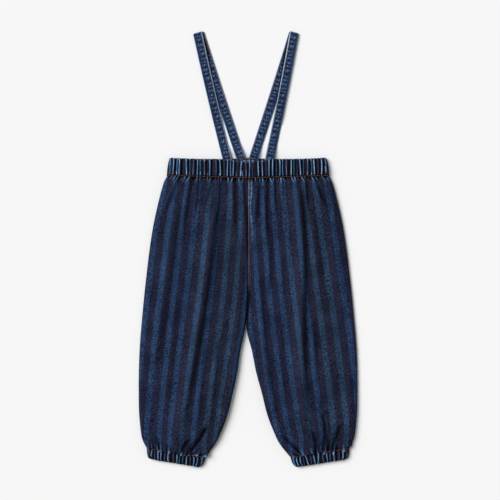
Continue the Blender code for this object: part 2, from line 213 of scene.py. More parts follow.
def add_wall(name, outer, inner, material, **marks):
    """One closed wall. Each mark is a grid of values for the outer face, which the inner one repeats."""
    size = outer.shape[:2]
    points = np.concatenate([outer.reshape(-1, 3), inner.reshape(-1, 3)])
    faces = facing_out(points, wall_faces(*size))
    both = {label: np.tile(np.broadcast_to(grid, size).ravel(), 2) for label, grid in marks.items()}
    piece = add_mesh(name, points, faces, material, both)
    print(f"{name}: {2 * len(faces)} triangles, {1000 * np.ptp(points[:, 2]):.1f} mm high")
    return piece


# %% [markdown]
# ## The cut
#
# These are the garment's sizes. They are the solids' own, but for the two rows just under the crotch,
# which differ from them by about a millimetre. A leg is a tube pressed flat: a front and a back panel
# that turn towards each other at the side seam and, below the crotch, at the inside leg. The centre
# seam is at x = 0 above it. The wearer's right is at -X.

# %% Sizes of the garment
WALL = 0.0014  # one layer of denim
CASING = 0.0030  # a casing: two layers of denim over the elastic
SEAM_GAP = 0.0003
EDGE_RADIUS = 0.0060  # how far in from an edge the cloth is still turning over
EDGE_TURN = np.radians([0, 12, 24, 36, 48, 60, 72])
WAYS = {"right": -1, "left": 1}

LEG_COLUMNS = ("side_x", "side_y", "side_z", "inner_right", "inner_left", "inner_y", "inner_z",
               "crown", "lean", "gather", "roll")
LEG_ROWS = np.array([
    (0.1103, 0.1004, 0.0040, 0.00015, 0.00015, 0.0971, 0.0040, 0.0066, 0.0000, 0.0014, 0.0),
    (0.1151, 0.0900, 0.0038, 0.00015, 0.00015, 0.0865, 0.0038, 0.0066, 0.0000, 0.0021, 0.0),
    (0.1214, 0.0670, 0.0034, 0.00015, 0.00015, 0.0625, 0.0034, 0.0064, 0.0000, 0.0012, 0.0),
    (0.1289, 0.0330, 0.0031, 0.00015, 0.00015, 0.0280, 0.0031, 0.0059, 0.0000, 0.0005, 0.0),
    (0.1344, -0.0030, 0.0030, 0.00015, 0.00015, -0.0080, 0.0030, 0.0055, 0.0000, 0.0002, 0.0),
    (0.1382, -0.0350, 0.0030, 0.00020, 0.00010, -0.0400, 0.0030, 0.0052, 0.0002, 0.0001, 0.0),
    (0.1412, -0.0620, 0.0030, 0.00030, 0.00000, -0.0650, 0.0032, 0.0051, 0.0006, 0.0000, 0.3),
    (0.1446, -0.0980, 0.0030, 0.00380, -0.00230, -0.1050, 0.0040, 0.0052, 0.0014, 0.0000, 1.0),
    (0.1471, -0.1290, 0.0030, 0.01030, 0.00520, -0.1370, 0.0046, 0.0054, 0.0021, 0.0000, 1.0),
    (0.1484, -0.1600, 0.0030, 0.01450, 0.01100, -0.1660, 0.0049, 0.0057, 0.0025, 0.0001, 1.0),
    (0.1487, -0.1900, 0.0031, 0.02070, 0.01880, -0.1950, 0.0050, 0.0062, 0.0025, 0.0003, 1.0),
    (0.1482, -0.2200, 0.0032, 0.02800, 0.02650, -0.2250, 0.0048, 0.0068, 0.0021, 0.0009, 1.0),
    (0.1456, -0.2480, 0.0034, 0.03940, 0.03800, -0.2540, 0.0042, 0.0074, 0.0012, 0.0020, 1.0),
    (0.1430, -0.2590, 0.0034, 0.04680, 0.04550, -0.2670, 0.0037, 0.0071, 0.0004, 0.0023, 1.0),
    (0.1384, -0.2680, 0.0032, 0.05760, 0.05700, -0.2810, 0.0032, 0.0056, 0.0000, 0.0014, 1.0),
])
BAND_COLUMNS = ("side_x", "side_y", "front_y", "back_y", "dip", "crown", "gather")
BAND_ROWS = np.array([
    (0.1106, 0.1007, 0.0974, 0.0974, 0.0, 0.0074, 0.0008),
    (0.1102, 0.1040, 0.1006, 0.1010, 0.2, 0.0082, 0.0013),
    (0.1095, 0.1120, 0.1080, 0.1100, 0.6, 0.0084, 0.0014),
    (0.1079, 0.1205, 0.1155, 0.1198, 1.0, 0.0081, 0.0012),
    (0.1068, 0.1239, 0.1184, 0.1238, 1.0, 0.0073, 0.0007),
    (0.1054, 0.1252, 0.1196, 0.1252, 1.0, 0.0065, 0.0002),
])
BAND_DIP = (0.60, 1.00)  # the dip starts and is full at these parts of the way to the middle
BAND_SAG = 0.0015  # how far the top edge hangs between its corners and the middle
BAND_SEAM_Z = 0.00405
BAND_FRONT_Z = 0.0051
CUFF_COLUMNS = ("side_x", "side_y", "inner_x", "inner_y", "crown", "gather")
CUFF_ROWS = np.array([
    (0.1383, -0.2683, 0.0576, -0.2813, 0.0058, 0.0011),
    (0.1377, -0.2715, 0.0582, -0.2840, 0.0064, 0.0016),
    (0.1370, -0.2780, 0.0602, -0.2895, 0.0065, 0.0016),
    (0.1355, -0.2823, 0.0629, -0.2932, 0.0058, 0.0012),
    (0.1316, -0.2847, 0.0669, -0.2952, 0.0047, 0.0005),
])
CUFF_SEAM_Z = 0.00315
CUFF_FRONT_Z = 0.0033
print("panel rows:", len(LEG_ROWS), " band rows:", len(BAND_ROWS), " cuff rows:", len(CUFF_ROWS))

# %% [markdown]
# ## A tube pressed flat
#
# One function makes half of any such tube, which is all that the legs, the band and the cuffs are. It
# places the columns in a straight line from one edge to the other. Near each edge the height follows
# a quarter circle down to where the other half comes up to meet it. The inner face turns on a smaller
# circle inside, so that the wall keeps its thickness.

# %% Half of a pressed tube
def turned_edges(values, at_a, at_b):
    """The same columns with those of the two turned edges added, which hold the values at_a and at_b."""
    edge = np.ones(values.shape[:-1] + (len(EDGE_TURN),))
    return np.concatenate([edge * at_a, values, edge * at_b], axis=-1)


def pressed_half(edge_a, edge_b, places, over, under, roll_b, up):
    """The outer and inner face of one half of a pressed tube, as two grids of points.

    edge_a and edge_b are the x, y and z of the two edges, row by row. Across, a column is at
    edge + radius * (1 - cos turn) while it turns, and at its place between the turned parts after
    that. Its height is rim + (height - rim) * sin turn, and then the height itself.
    """
    width = np.abs(edge_b[0] - edge_a[0])
    places = np.broadcast_to(places, (len(width), places.shape[-1]))
    turn_in, rise = 1 - np.cos(EDGE_TURN), np.sin(EDGE_TURN)
    level = np.ones(places.shape[-1] + len(EDGE_TURN))
    lift = np.append(rise, level) * (1 - roll_b * (1 - np.append(level, rise[::-1])))
    rim = edge_a[2] + (edge_b[2] - edge_a[2]) * turned_edges(places, 0, 1) + up * SEAM_GAP / 2
    faces = []
    for height, inset in ((over, 0.0), (under, WALL)):
        near = inset + (EDGE_RADIUS - inset) * turn_in + 0 * width
        middle = EDGE_RADIUS + places * (width - 2 * EDGE_RADIUS)
        far = width - inset * roll_b - (EDGE_RADIUS - inset * roll_b) * turn_in[::-1]
        across = np.hstack([near, middle, far]) / width
        x = edge_a[0] + (edge_b[0] - edge_a[0]) * across
        y = edge_a[1] + (edge_b[1] - edge_a[1]) * across
        z = rim + (height - rim) * lift
        faces.append(np.stack([x, y, z], axis=-1))
    return faces


# %% [markdown]
# ## Gathers
#
# Elastic draws the cloth up into narrow ridges. They aren't sine waves: most of the cloth lies flat,
# and the spare cloth stands up in thin pinched crests with black furrows beside them. So the profile is
# a sum over a table. A row with a positive rise is a crest, and one with a negative rise is a furrow.

# %% Gathers of the waist
GATHER_COLUMNS = ("at", "rise", "slant", "blue")
# For the waist: where it is in mm, its rise, how many mm its top is further to +X than its foot, and
# 1 if it is on a light stripe. Three rows stand on a line, from the wearer's right to their left.
WAIST_GATHERS = np.array([
    (-106, 0.7, 1.5, 1), (-104, -0.4, 1.5, 0), (-101, 0.9, 1.0, 1),
    (-98.5, -1.0, 0, 0), (-96, 0.4, 0, 1), (-93, 1.0, 0, 1),
    (-90, -1.0, 0, 0), (-87, 0.1, 0, 0), (-83.5, 1.0, 0.5, 1),
    (-80.5, -0.8, 0.5, 0), (-79, 0.2, 0, 1), (-77, -0.4, 0, 0),
    (-74, 0.6, 1.0, 0), (-71, -1.0, 0, 0), (-68.5, 0.9, 0, 1),
    (-66.5, -0.6, 1.0, 0), (-65, 0.3, 0, 1), (-62.5, -0.7, 0.5, 0),
    (-59, 0.7, 0, 0), (-56, -1.0, 1.0, 0), (-52, 0.8, -1.0, 1),
    (-49.5, -1.1, 0, 0), (-46, 0.1, 0, 0), (-43.5, 0.6, -0.5, 0),
    (-41, -1.1, 0, 0), (-38, 0.8, -1.0, 1), (-35.5, -1.0, -0.5, 0),
    (-32.5, 0.3, 0, 0), (-30, -0.4, -1.0, 0), (-28, 0.9, 0, 1),
    (-25.5, -0.7, -1.0, 0), (-23.5, 0.4, 0, 1), (-21.5, -0.5, -0.5, 0),
    (-20, 0.9, 0, 1), (-17.5, -0.9, 0, 0), (-14.5, 0.2, 1.0, 0),
    (-12, -0.3, 1.0, 0), (-9.5, 0.9, 1.5, 1), (-6, -0.4, -2.0, 0),
    (-3, 0.5, -0.5, 0), (-0.5, -0.7, 0, 0), (2, 0.8, 0, 1),
    (4, -0.6, 0, 0), (6, 0.2, 0, 0), (11.5, -0.5, 0, 0),
    (14, 1.0, 0, 1), (16.5, -0.9, 0, 0), (19.5, 0.7, 0, 1),
    (21.5, -0.8, 0, 0), (24.5, 0.2, 0, 0), (26, -0.3, 0, 0),
    (28.5, 0.8, -1.5, 1), (31, -0.8, 0, 0), (33.5, 0.9, -0.5, 1),
    (36.5, -1.0, 0, 0), (38.5, 0.2, 0, 0), (40.5, -0.6, -1.0, 0),
    (43, 1.0, 0, 1), (45, -0.8, -0.5, 0), (47, 0.4, -1.0, 1),
    (49.5, -0.7, 0, 0), (52, 0.7, 0, 0), (55.5, -1.0, -1.0, 0),
    (58.5, 1.1, -1.0, 1), (60.5, -0.8, -0.5, 0), (62, 0.2, 0, 1),
    (64, -0.7, -1.0, 0), (66.5, 0.2, -1.5, 0), (68, -0.7, -2.0, 0),
    (70.5, 1.0, -1.5, 1), (73, -1.0, -1.0, 0), (75, 0.2, 0, 1),
    (77, -0.6, -2.0, 0), (80.5, 0.9, 0, 0), (83.5, -0.9, -1.0, 0),
    (86, 0.3, 0, 1), (87.5, -0.4, -1.0, 0), (89.5, 1.0, -1.0, 1),
    (92, -1.0, -0.5, 0), (94.5, 0.2, 0, 0), (97, -0.6, 0, 0),
    (99.5, 1.1, -1.0, 1), (102, -0.9, -1.0, 0), (105, 0.9, -1.0, 1),
    (107.5, -0.4, -1.5, 0),
])
# Short nips at the band's edges, many of them the arms of a crest that parts: where each is in the
# middle of its length, its rise, its lean for the band's whole height in mm, 1 if it is on a light
# stripe, and between which heights it is, from 0 at the seam to 1 at the top
WAIST_NIPS = np.array([
    (-98.5, 0.6, 4, 1, 0.85, 1.00), (-97.0, 0.8, 0, 1, 0.00, 0.25), (-95.0, 0.7, 2, 1, 0.75, 1.00),
    (-79.5, 0.7, 0, 1, 0.00, 0.20), (-79.0, 0.6, 1, 1, 0.75, 1.00), (-64.5, 0.6, 0, 1, 0.00, 0.25),
    (-63.5, 0.5, 2, 1, 0.70, 1.00), (-60.0, 0.9, -7, 0, 0.70, 0.95), (-57.5, 0.6, 9, 0, 0.70, 0.95),
    (-55.0, 0.6, 0, 1, 0.00, 0.20), (-45.5, 0.4, -8, 0, 0.85, 1.00), (-42.5, 0.5, 5, 0, 0.80, 1.00),
    (-40.0, 0.7, -6, 1, 0.78, 1.00), (-37.0, 0.7, 5, 1, 0.78, 1.00), (-39.5, 0.7, 8, 1, 0.00, 0.18),
    (-36.5, 0.7, -8, 1, 0.00, 0.18), (-38.0, -1.0, 0, 0, 0.00, 0.12), (-25.0, 0.5, 6, 1, 0.00, 0.15),
    (-22.5, 0.5, -6, 1, 0.00, 0.15), (-24.0, -0.8, 0, 0, 0.00, 0.10), (-16.0, 0.5, 0, 0, 0.00, 0.25),
    (-10.5, 0.7, 6, 1, 0.00, 0.33), (-7.5, 0.7, -6, 1, 0.00, 0.33), (-9.5, -1.0, 0, 0, 0.00, 0.15),
    (-2.5, 0.4, 0, 0, 0.00, 0.40), (10.0, 0.9, 0, 0, 0.00, 0.10), (17.5, 0.5, -6, 1, 0.85, 1.00),
    (20.0, 0.5, 5, 1, 0.85, 1.00), (46.0, 0.8, -4, 1, 0.75, 1.00), (50.5, 0.5, -6, 0, 0.85, 1.00),
    (53.0, 0.5, 5, 0, 0.85, 1.00), (60.5, 0.8, -5, 1, 0.80, 1.00), (67.0, 0.4, 0, 0, 0.00, 0.15),
    (74.0, 0.6, -1, 1, 0.80, 1.00), (84.5, 0.5, -4, 1, 0.70, 1.00), (86.0, 0.7, 0, 1, 0.00, 0.20),
])
print("crests across the waist:", (WAIST_GATHERS[:, 1] > 0).sum(), " nips:", len(WAIST_NIPS))

# %% [markdown]
# ## Gathered cloth
#
# One function gives the cloth its relief and its finish, so that they can't come apart. The wear is on the
# crests, painted shade darkens the furrows, and round the crests marked blue the cloth is the light stripe.
# A crest that was only painted on would stay lit when the lamp moves.

# %% Gathered cloth
CREST_TALL, CREST_HALF = 1.15 * MM, 0.95 * MM
FURROW_DEEP, FURROW_HALF = 0.85 * MM, 0.95 * MM
# half widths of a crest's wear, of the painted shade of a furrow and of the light stripe round a crest
WORN_HALF, FURROW_SHADE_HALF, BLUE_HALF = 0.46 * MM, 1.00 * MM, 1.7 * MM
# How far a crest's line strays from straight, its waves up the casing, and its phase for each mm of x
WANDER, WANDER_TURNS, WANDER_PHASE = 0.35 * MM, 0.9, 0.37
# How worn a crest is, and how its wear comes and goes in the same way
CREST_WORN, WEAR_SWING, WEAR_TURNS, WEAR_PHASE = 0.92, 0.22, 1.4, 0.61
LOW_CREST, LOW_CREST_WORN = 0.55, 1.6  # below this rise a crest is worn more at its ends, and how much
CASING_FOOT, CASING_TOP = 0.13, 0.16  # the parts of a casing's height that count as its ends
NIP_FADE = 0.08  # the part of the band's height over which a nip comes and goes


def gathered(x, table, along):
    """Height in metres, wear, painted shade and lightness of gathered cloth at x. along is 0 to 1 up it.

    Each row adds its rise times a bell over the distance from its line. The line strays by a sine whose
    phase is the row's place, and so does its wear. Low crests are worn more at their ends.
    """
    row = dict(zip(GATHER_COLUMNS, table.T[:, :, None, None]))
    stray = WANDER * np.sin(2 * np.pi * (WANDER_TURNS * along + WANDER_PHASE * row["at"]))
    from_line = x - MM * (row["at"] + row["slant"] * (along - 0.5)) - stray
    crest, furrow = np.clip(row["rise"], 0, None), np.clip(-row["rise"], 0, None)
    height = (CREST_TALL * crest * bell(from_line, CREST_HALF)
              - FURROW_DEEP * furrow * bell(from_line, FURROW_HALF)).sum(axis=0)
    ends = bell(along, CASING_FOOT) + bell(1 - along, CASING_TOP)
    swing = np.sin(2 * np.pi * (WEAR_TURNS * along + WEAR_PHASE * row["at"]))
    rubbed = crest * (CREST_WORN + WEAR_SWING * swing)
    rubbed = rubbed * (1 + LOW_CREST_WORN * np.clip(LOW_CREST - crest, 0, 1) * ends)
    wear_and_highlight = (rubbed * bell(from_line, WORN_HALF)).sum(axis=0)
    # painted shade along the furrows
    painted_shade = (furrow * bell(from_line, FURROW_SHADE_HALF)).sum(axis=0)
    blue = (row["blue"] * bell(from_line, BLUE_HALF)).sum(axis=0)
    return height, wear_and_highlight, painted_shade, np.clip(blue, 0, 1)


def nipped(x, along):
    """Wear, painted shade and lightness of the nips, each a line that shows between two heights only."""
    at, rise, lean, light, start, end = WAIST_NIPS.T[:, :, None, None]
    shows = smooth_step(along, start - NIP_FADE, start) * (1 - smooth_step(along, end, end + NIP_FADE))
    from_line = x - MM * (at + lean * (along - (start + end) / 2))
    wear_and_highlight = (shows * np.clip(rise, 0, 1) * bell(from_line, WORN_HALF)).sum(axis=0)
    # painted shade along the nips that sink
    painted_shade = (shows * np.clip(-rise, 0, 1) * bell(from_line, FURROW_SHADE_HALF)).sum(axis=0)
    return wear_and_highlight, painted_shade, (shows * light * bell(from_line, BLUE_HALF)).sum(axis=0)


print("height of a crest and depth of a furrow in mm:", np.round([CREST_TALL / MM, FURROW_DEEP / MM], 2))

# %% [markdown]
# The cuffs are gathered the same way. Their crests are counted from the side seam, along the cuff. They
# stand closer, so there is a furrow half way between each crest and the next.

# %% Gathers of the cuffs
# Each crest's distance from the side seam in mm, its rise, how many mm its top is further from the side
# seam than its foot, 1 if it is on a light stripe, and how deep the furrow after it is
CUFF_CRESTS = {
    "right": np.array([
        (2.0, 0.5, 4.0, 0, 0.5), (6.5, 0.9, 3.5, 1, 0.8), (11.0, 0.4, 3.0, 0, 0.6),
        (15.5, 1.0, 0.5, 1, 1.0), (20.0, 0.8, 1.0, 1, 1.0), (25.5, 0.4, 1.0, 0, 0.5),
        (30.5, 1.1, -0.5, 1, 1.2), (38.0, 0.4, -1.5, 0, 0.9), (43.0, 1.0, -0.5, 1, 0.6),
        (47.0, 0.3, -2.0, 1, 1.0), (51.5, 0.5, -2.5, 0, 1.0), (57.0, 1.0, -2.5, 1, 0.9),
        (62.5, 0.4, -4.5, 0, 0.9), (67.5, 1.0, -4.5, 1, 0.9), (72.0, 0.7, -5.0, 1, 0.6),
        (79.0, 0.8, -4.0, 1, 0.2),
    ]),
    "left": np.array([
        (3.5, 0.6, 3.0, 0, 1.1), (9.0, 1.1, 2.5, 1, 0.9), (14.5, 0.5, 1.0, 0, 1.1),
        (21.5, 1.0, 4.0, 1, 1.0), (27.0, 0.6, 3.0, 0, 0.7), (31.5, 0.8, 1.0, 1, 1.0),
        (37.0, 0.6, 1.0, 0, 0.6), (44.5, 1.1, -5.5, 1, 1.1), (50.0, 0.9, -1.0, 1, 0.4),
        (55.0, 0.4, -3.0, 0, 0.6), (60.5, 1.1, -0.5, 1, 0.9), (65.5, 0.3, -3.0, 0, 1.0),
        (69.5, 0.8, -3.0, 1, 1.1), (74.5, 1.0, -3.5, 1, 0.8), (79.5, 0.8, -3.5, 1, 0.1),
    ]),
}
CUFF_GATHERS = {}
for word, crests in CUFF_CRESTS.items():
    between = (crests[:-1] + crests[1:]) / 2
    furrows = np.column_stack([between[:, 0], -crests[:-1, 4], between[:, 2], 0 * between[:, 0]])
    CUFF_GATHERS[word] = np.concatenate([crests[:, :4], furrows])
print("crests on each cuff:", {word: len(table) for word, table in CUFF_CRESTS.items()})

# %% [markdown]
# ## Long folds
#
# The full legs lie in long folds, and above the cuffs there are short deep creases. Each is a row: the
# heights where it starts and ends, where its crest is at four equal steps between them, how wide its two
# flanks are, how far it rises and how dark the shade painted on its steep flank is. A ridge also gets a
# faint painted highlight on its other flank. A negative rise makes a crease, with its painted shade in its
# middle.
#
# A smooth line through the four places is the cubic through them. With t from 0 to 3 it is the sum of
# each place times the product that is 1 at its own step and 0 at the other three.

# %% Long folds
FOLD_COLUMNS = ("from_y", "to_y", "x_0", "x_1", "x_2", "x_3", "left", "right", "rise", "dark")
FOLDS = {  # in mm
    "right": np.array([
        (111, 38, -91, -101, -111, -120, 4, 4, 1.0, 0.60),
        (111, 0, -77, -84, -89, -92, 4, 5, 1.3, 0.70),
        (111, 33, -68, -70, -73, -77, 4, 3, 0.9, 0.80),
        (111, 57, -49, -52, -56, -60, 3, 3, 0.9, 0.60),
        (111, 16, -42, -42, -45, -53, 4, 5, 1.3, 0.90),
        (61, -306, -45, -61, -82, -108, 15, 8, 2.6, 0.85),
        (68, -183, -96, -108, -120, -132, 12, 8, 1.6, 0.50),
        (111, 65, -32, -31, -31, -30, 3, 3, 0.5, 0.40),
        (111, 7, -21, -21, -20, -17, 4, 4, 1.2, 0.80),
        (111, -27, -12, -6, -4, -3, 4, 3, 0.9, 0.60),
        (-54, -258, -98, -104, -109, -114, 7, 6, 0.6, 0.25),
        (-16, -285, -9, -15, -25, -49, 9, 7, 1.0, 0.30),
        (-122, -258, -62, -65, -68, -70, 5, 5, 0.7, 0.40),
        (-109, -251, -42, -46, -50, -54, 6, 5, 0.8, 0.35),
        (-236, -306, -55, -68, -87, -108, 4, 4, -2.0, 1.20),
        (-255, -306, -79, -91, -103, -114, 3, 3, -1.6, 1.20),
        (-250, -306, -125, -121, -118, -116, 3, 3, -1.0, 0.80),
        (-261, -306, -108, -105, -102, -98, 3, 3, -0.7, 0.70),
    ]),
    "left": np.array([
        (111, 19, 15, 12, 9, 6, 4, 4, 1.0, 0.70),
        (111, -7, 24, 23, 23, 25, 4, 4, 1.2, 0.80),
        (111, 43, 33, 34, 35, 36, 3, 3, 0.9, 0.80),
        (111, 60, 44, 45, 46, 48, 4, 3, 0.7, 0.50),
        (111, -306, 63, 73, 73, 95, 14, 7, 2.6, 0.90),
        (111, 46, 76, 77, 79, 81, 4, 3, 1.0, 0.80),
        (111, 41, 86, 91, 101, 112, 4, 4, 1.2, 0.75),
        (111, 65, 101, 104, 107, 112, 4, 3, 0.7, 0.50),
        (52, -75, 87, 90, 95, 99, 5, 6, 0.8, 0.45),
        (48, -136, 112, 120, 126, 131, 10, 8, 0.9, 0.20),
        (-24, -265, 14, 18, 27, 47, 7, 6, 1.3, 0.50),
        (38, -75, 25, 28, 27, 22, 4, 5, 0.9, 0.50),
        (-3, -88, 45, 45, 46, 46, 5, 4, 0.5, 0.30),
        (-95, -224, 42, 44, 46, 49, 5, 5, 0.6, 0.30),
        (-84, -197, 87, 88, 89, 91, 5, 6, 0.8, 0.45),
        (-166, -265, 137, 138, 137, 135, 8, 5, 0.6, 0.30),
        (-166, -244, 115, 116, 119, 121, 6, 5, 0.5, 0.20),
        (-215, -306, 95, 104, 99, 90, 5, 3, -1.6, 0.95),
        (-234, -306, 127, 118, 110, 103, 4, 4, -1.5, 1.00),
        (-250, -306, 46, 64, 83, 102, 4, 4, -1.2, 0.95),
        (-242, -306, 86, 91, 94, 98, 4, 3, -1.0, 0.90),
        (-250, -306, 107, 109, 110, 112, 3, 3, -0.8, 0.80),
    ]),
}
FOLD_START, FOLD_FADE = (0.00, 0.12), (0.60, 1.00)  # parts of its length where a fold comes and goes
# how much highlight is painted on a ridge's lit flank
FOLD_HIGHLIGHT = 0.035
# Where a fold's painted shade is darkest and how far it spreads, in widths of its right flank, for a ridge
# and for a crease, and then where a ridge's painted highlight is and how far it spreads, in widths of its
# left flank
RIDGE_DARK, CREASE_DARK, RIDGE_LIT = (0.7, 0.6), (0.0, 0.8), (-0.3, 0.6)


def long_folds(table, x, y):
    """How far the folds lift the cloth at these points in metres, how much shade is painted on them and how
    much highlight.
    """
    fold = dict(zip(FOLD_COLUMNS, table.T[:, :, None, None]))
    along = (fold["from_y"] - y / MM) / (fold["from_y"] - fold["to_y"])
    t = 3 * np.clip(along, 0, 1)
    crest = (3 * t * (t - 3) * (fold["x_1"] * (t - 2) - fold["x_2"] * (t - 1))
             + (t - 1) * (t - 2) * (fold["x_3"] * t - fold["x_0"] * (t - 3))) / 6
    away = x / MM - crest
    strength = smooth_step(along, *FOLD_START) * (1 - smooth_step(along, *FOLD_FADE))
    ridge = fold["rise"] > 0
    lift = fold["rise"] * bell(away, np.where(away < 0, fold["left"], fold["right"])) * MM
    # painted shade on a ridge's shaded flank and in the middle of a crease
    dark_at, dark_half = (np.where(ridge, *pair) * fold["right"] for pair in zip(RIDGE_DARK, CREASE_DARK))
    dark = fold["dark"] * bell(away - dark_at, dark_half)
    # painted highlight on a ridge's lit flank
    lit_at, lit_half = (part * fold["left"] for part in RIDGE_LIT)
    lit = np.clip(fold["rise"], 0, 2) * bell(away - lit_at, lit_half)
    return tuple((strength * part).sum(axis=0) for part in (lift, dark, FOLD_HIGHLIGHT * lit))


print("folds:", {word: len(table) for word, table in FOLDS.items()})

# %% [markdown]
# ## Where the stripes run
#
# The stripe is woven in, up to 17 mm from one light stripe to the next, and it follows the cloth: the
# legs spread, so it leans outwards, and near the waist the gathers draw it together. The chart gives, at
# eight heights, where the middle stripe of each leg is and how far apart they are. The weaver's spacing
# isn't even, so each stripe also has a shift of its own at the top and the foot.
#
# A point's stripe number is found the other way round: it is the sum, over all the stripes, of how far
# the point is across the space between a stripe and the next, from 0 to 1.

# %% Stripes
STRIPE_COLUMNS = ("y", "right_middle", "right_pitch", "left_middle", "left_pitch")
STRIPE_ROWS = MM * np.array([
    (-255, -90.8, 15.3, 87.3, 14.9),
    (-239, -89.4, 15.8, 84.8, 16.0),
    (-174, -81.8, 16.4, 76.1, 16.7),
    (-109, -73.6, 16.9, 68.0, 16.8),
    (-44, -65.9, 16.8, 60.0, 16.4),
    (22, -59.5, 16.3, 53.1, 15.7),
    (54, -56.5, 15.7, 50.3, 15.1),
    (87, -53.4, 14.6, 47.3, 14.5),
])
STRIPE_SHIFTS = {
    "right": MM * np.array([
        (-1.5, -1.5, 0.5, 1.5, 2.5, 0.5, -0.5, 0.0, -2.0),
        (-1.0, -1.0, 1.0, -0.5, 1.0, 0.0, 1.0, -0.5, -2.5),
    ]),
    "left": MM * np.array([
        (2.0, 1.5, -0.5, -0.5, -1.0, 1.5, -2.0, -0.5, 2.0),
        (2.5, 0.5, 0.0, -0.5, 0.5, -2.5, -1.0, 1.0, 2.0),
    ]),
}
SHIFT_TOP, SHIFT_FOOT = 0.06, -0.16
STRIPES_BEYOND = 3  # stripes past the nine in the chart, on each side


def stripe_number(word, x, y):
    """Which stripe each point is on: a whole number in the middle of a light stripe.

    Stripe k is at middle(y) + k * pitch(y) + shift_k(y), with k counted towards +X.
    """
    chart = dict(zip(STRIPE_COLUMNS, STRIPE_ROWS.T))
    middle = np.interp(y, chart["y"], chart[f"{word}_middle"])
    pitch = np.interp(y, chart["y"], chart[f"{word}_pitch"])
    top, foot = (np.pad(row, STRIPES_BEYOND, mode="edge")[:, None, None] for row in STRIPE_SHIFTS[word])
    number = np.arange(len(top)) - len(top) // 2
    shift = foot + (top - foot) * smooth_step(y, SHIFT_FOOT, SHIFT_TOP)
    at = middle + number[:, None, None] * pitch + shift
    return number[0] + np.clip((x - at[:-1]) / (at[1:] - at[:-1]), 0, 1).sum(axis=0)


print("stripes on each leg:", STRIPE_SHIFTS["right"].shape[1])

# %% [markdown]
# ## Denim
#
# Denim is a twill: the dyed warp lies on top in fine slanting ribs, and the white weft hardly shows.
# Indigo sits on the outside of the yarn, so it rubs off where the cloth stands proud. The finish is built in
# that order: the two woven colours, each stripe with the tint of its own dye lot, a mottle of lighter and
# darker yarns, pale blue where the cloth is worn, with painted highlights laid on the same way, painted
# shade near black in creases, furrows and holes and beside seams and edges, and last the twill as a bump.
#
# Everything is procedural. The stripe, the wear with its painted highlights and the painted shade come from
# the points' own numbers. The dye lot is a random number for each whole stripe number. The mottle and the
# twill are worked out from Object coordinates.

# %% Shader helpers
def shade(red, green, blue):
    """An eight-bit screen colour as the linear colour that a shader takes."""
    screen = np.array([red, green, blue]) / 255
    linear = np.where(screen <= 0.04045, screen / 12.92, ((screen + 0.055) / 1.055)**2.4)
    return (*linear.tolist(), 1.0)


class Nodes:
    """A few short ways to place and join the nodes of one material."""

    def __init__(self, name):
        self.material = bpy.data.materials.new(name)
        self.material.use_nodes = True
        self.tree = self.material.node_tree
        self.shader = self.tree.nodes["Principled BSDF"]

    def add(self, kind, **settings):
        node = self.tree.nodes.new(kind)
        for key_name, value in settings.items():
            setattr(node, key_name, value)
        return node

    def put(self, socket, value):
        if isinstance(value, bpy.types.NodeSocket):
            self.tree.links.new(value, socket)
        else:
            socket.default_value = value

    def fill(self, node, values):
        """Each named socket of a node given its value, or joined to another node's socket."""
        for label, value in values.items():
            self.put(node.inputs[label], value)

    def scaled(self, colour, factor):
        """The colour, with all its parts times the factor."""
        node = self.add("ShaderNodeVectorMath", operation="SCALE")
        self.put(node.inputs[0], colour)
        self.put(node.inputs["Scale"], factor)
        return node.outputs[0]

    def maths(self, operation, a, b=0.0, c=0.0, clamp=False):
        node = self.add("ShaderNodeMath", operation=operation, use_clamp=clamp)
        for socket, value in zip(node.inputs, (a, b, c)):
            self.put(socket, value)
        return node.outputs[0]

    def ramp(self, value, low, high, to_low=0.0, to_high=1.0):
        """Smoothly from to_low where the value is low to to_high where it is high."""
        node = self.add("ShaderNodeMapRange", interpolation_type="SMOOTHSTEP")
        for socket, number in zip(node.inputs, (value, low, high, to_low, to_high)):
            self.put(socket, number)
        return node.outputs[0]

    def mix(self, factor, a, b, blend="MIX"):
        node = self.add("ShaderNodeMix", data_type="RGBA", blend_type=blend)
        self.put(node.inputs["Factor"], factor)
        for socket, value in zip((s for s in node.inputs if s.type == "RGBA"), (a, b)):
            self.put(socket, value)
        return next(s for s in node.outputs if s.type == "RGBA")

    def mark(self, label):
        return self.add("ShaderNodeAttribute", attribute_name=label).outputs["Fac"]

    def noise(self, vector, scale, detail=2.0, rough=0.5):
        node = self.add("ShaderNodeTexNoise")
        self.fill(node, {"Vector": vector, "Scale": scale, "Detail": detail, "Roughness": rough})
        return node.outputs["Fac"]


# %% Denim finish
DARK_STRIPE = shade(31, 34, 52)
LIGHT_STRIPE = shade(36, 53, 79)
WORN_BLUE = shade(104, 148, 190)
WORN_DARK = shade(92, 94, 126)
WORN_WHITE = shade(186, 206, 220)
CASING_DARK, CASING_LIGHT = shade(28, 29, 46), shade(18, 36, 62)
STRAP_DARK, STRAP_LIGHT, STRAP_WORN = shade(27, 37, 62), shade(40, 61, 100), shade(108, 142, 184)
# the near black that painted shade mixes the cloth towards
PAINTED_SHADE_COLOUR = shade(1, 1, 4)
DYE_LOTS = (0.92, 0.97, 1.08, 1), (1.06, 1.03, 0.94, 1)  # the bluest and the greyest stripes' tints
STRIPE_HALF = 0.215  # half of a light stripe's width, in pitches
STRIPE_SOFT = 0.070  # how gradual its edge is, in pitches
FRAY, FRAYS = 0.08, 500  # how far the yarns stray over a stripe's edge in pitches, and how many to the metre
# The mottle: how many patches to the metre, and how far it darkens and lightens the cloth
YARNS, CLOUDS = 700, 38
YARN_TONES, CLOUD_TONES = (0.25, 1.95), (0.76, 1.24)
STRAP_TONES = (0.65, 1.4)  # the straps' yarns are more even
WEAR_PATCHES, WEAR_TONES = 640, (0.62, 1.05)  # the same for the wear
TWILL_PITCH, TWILL_BEND = 0.0011, 1.5
RELIEF_YARNS, RELIEF_STRENGTH, RELIEF_DEPTH = 700, 0.6, 0.0004


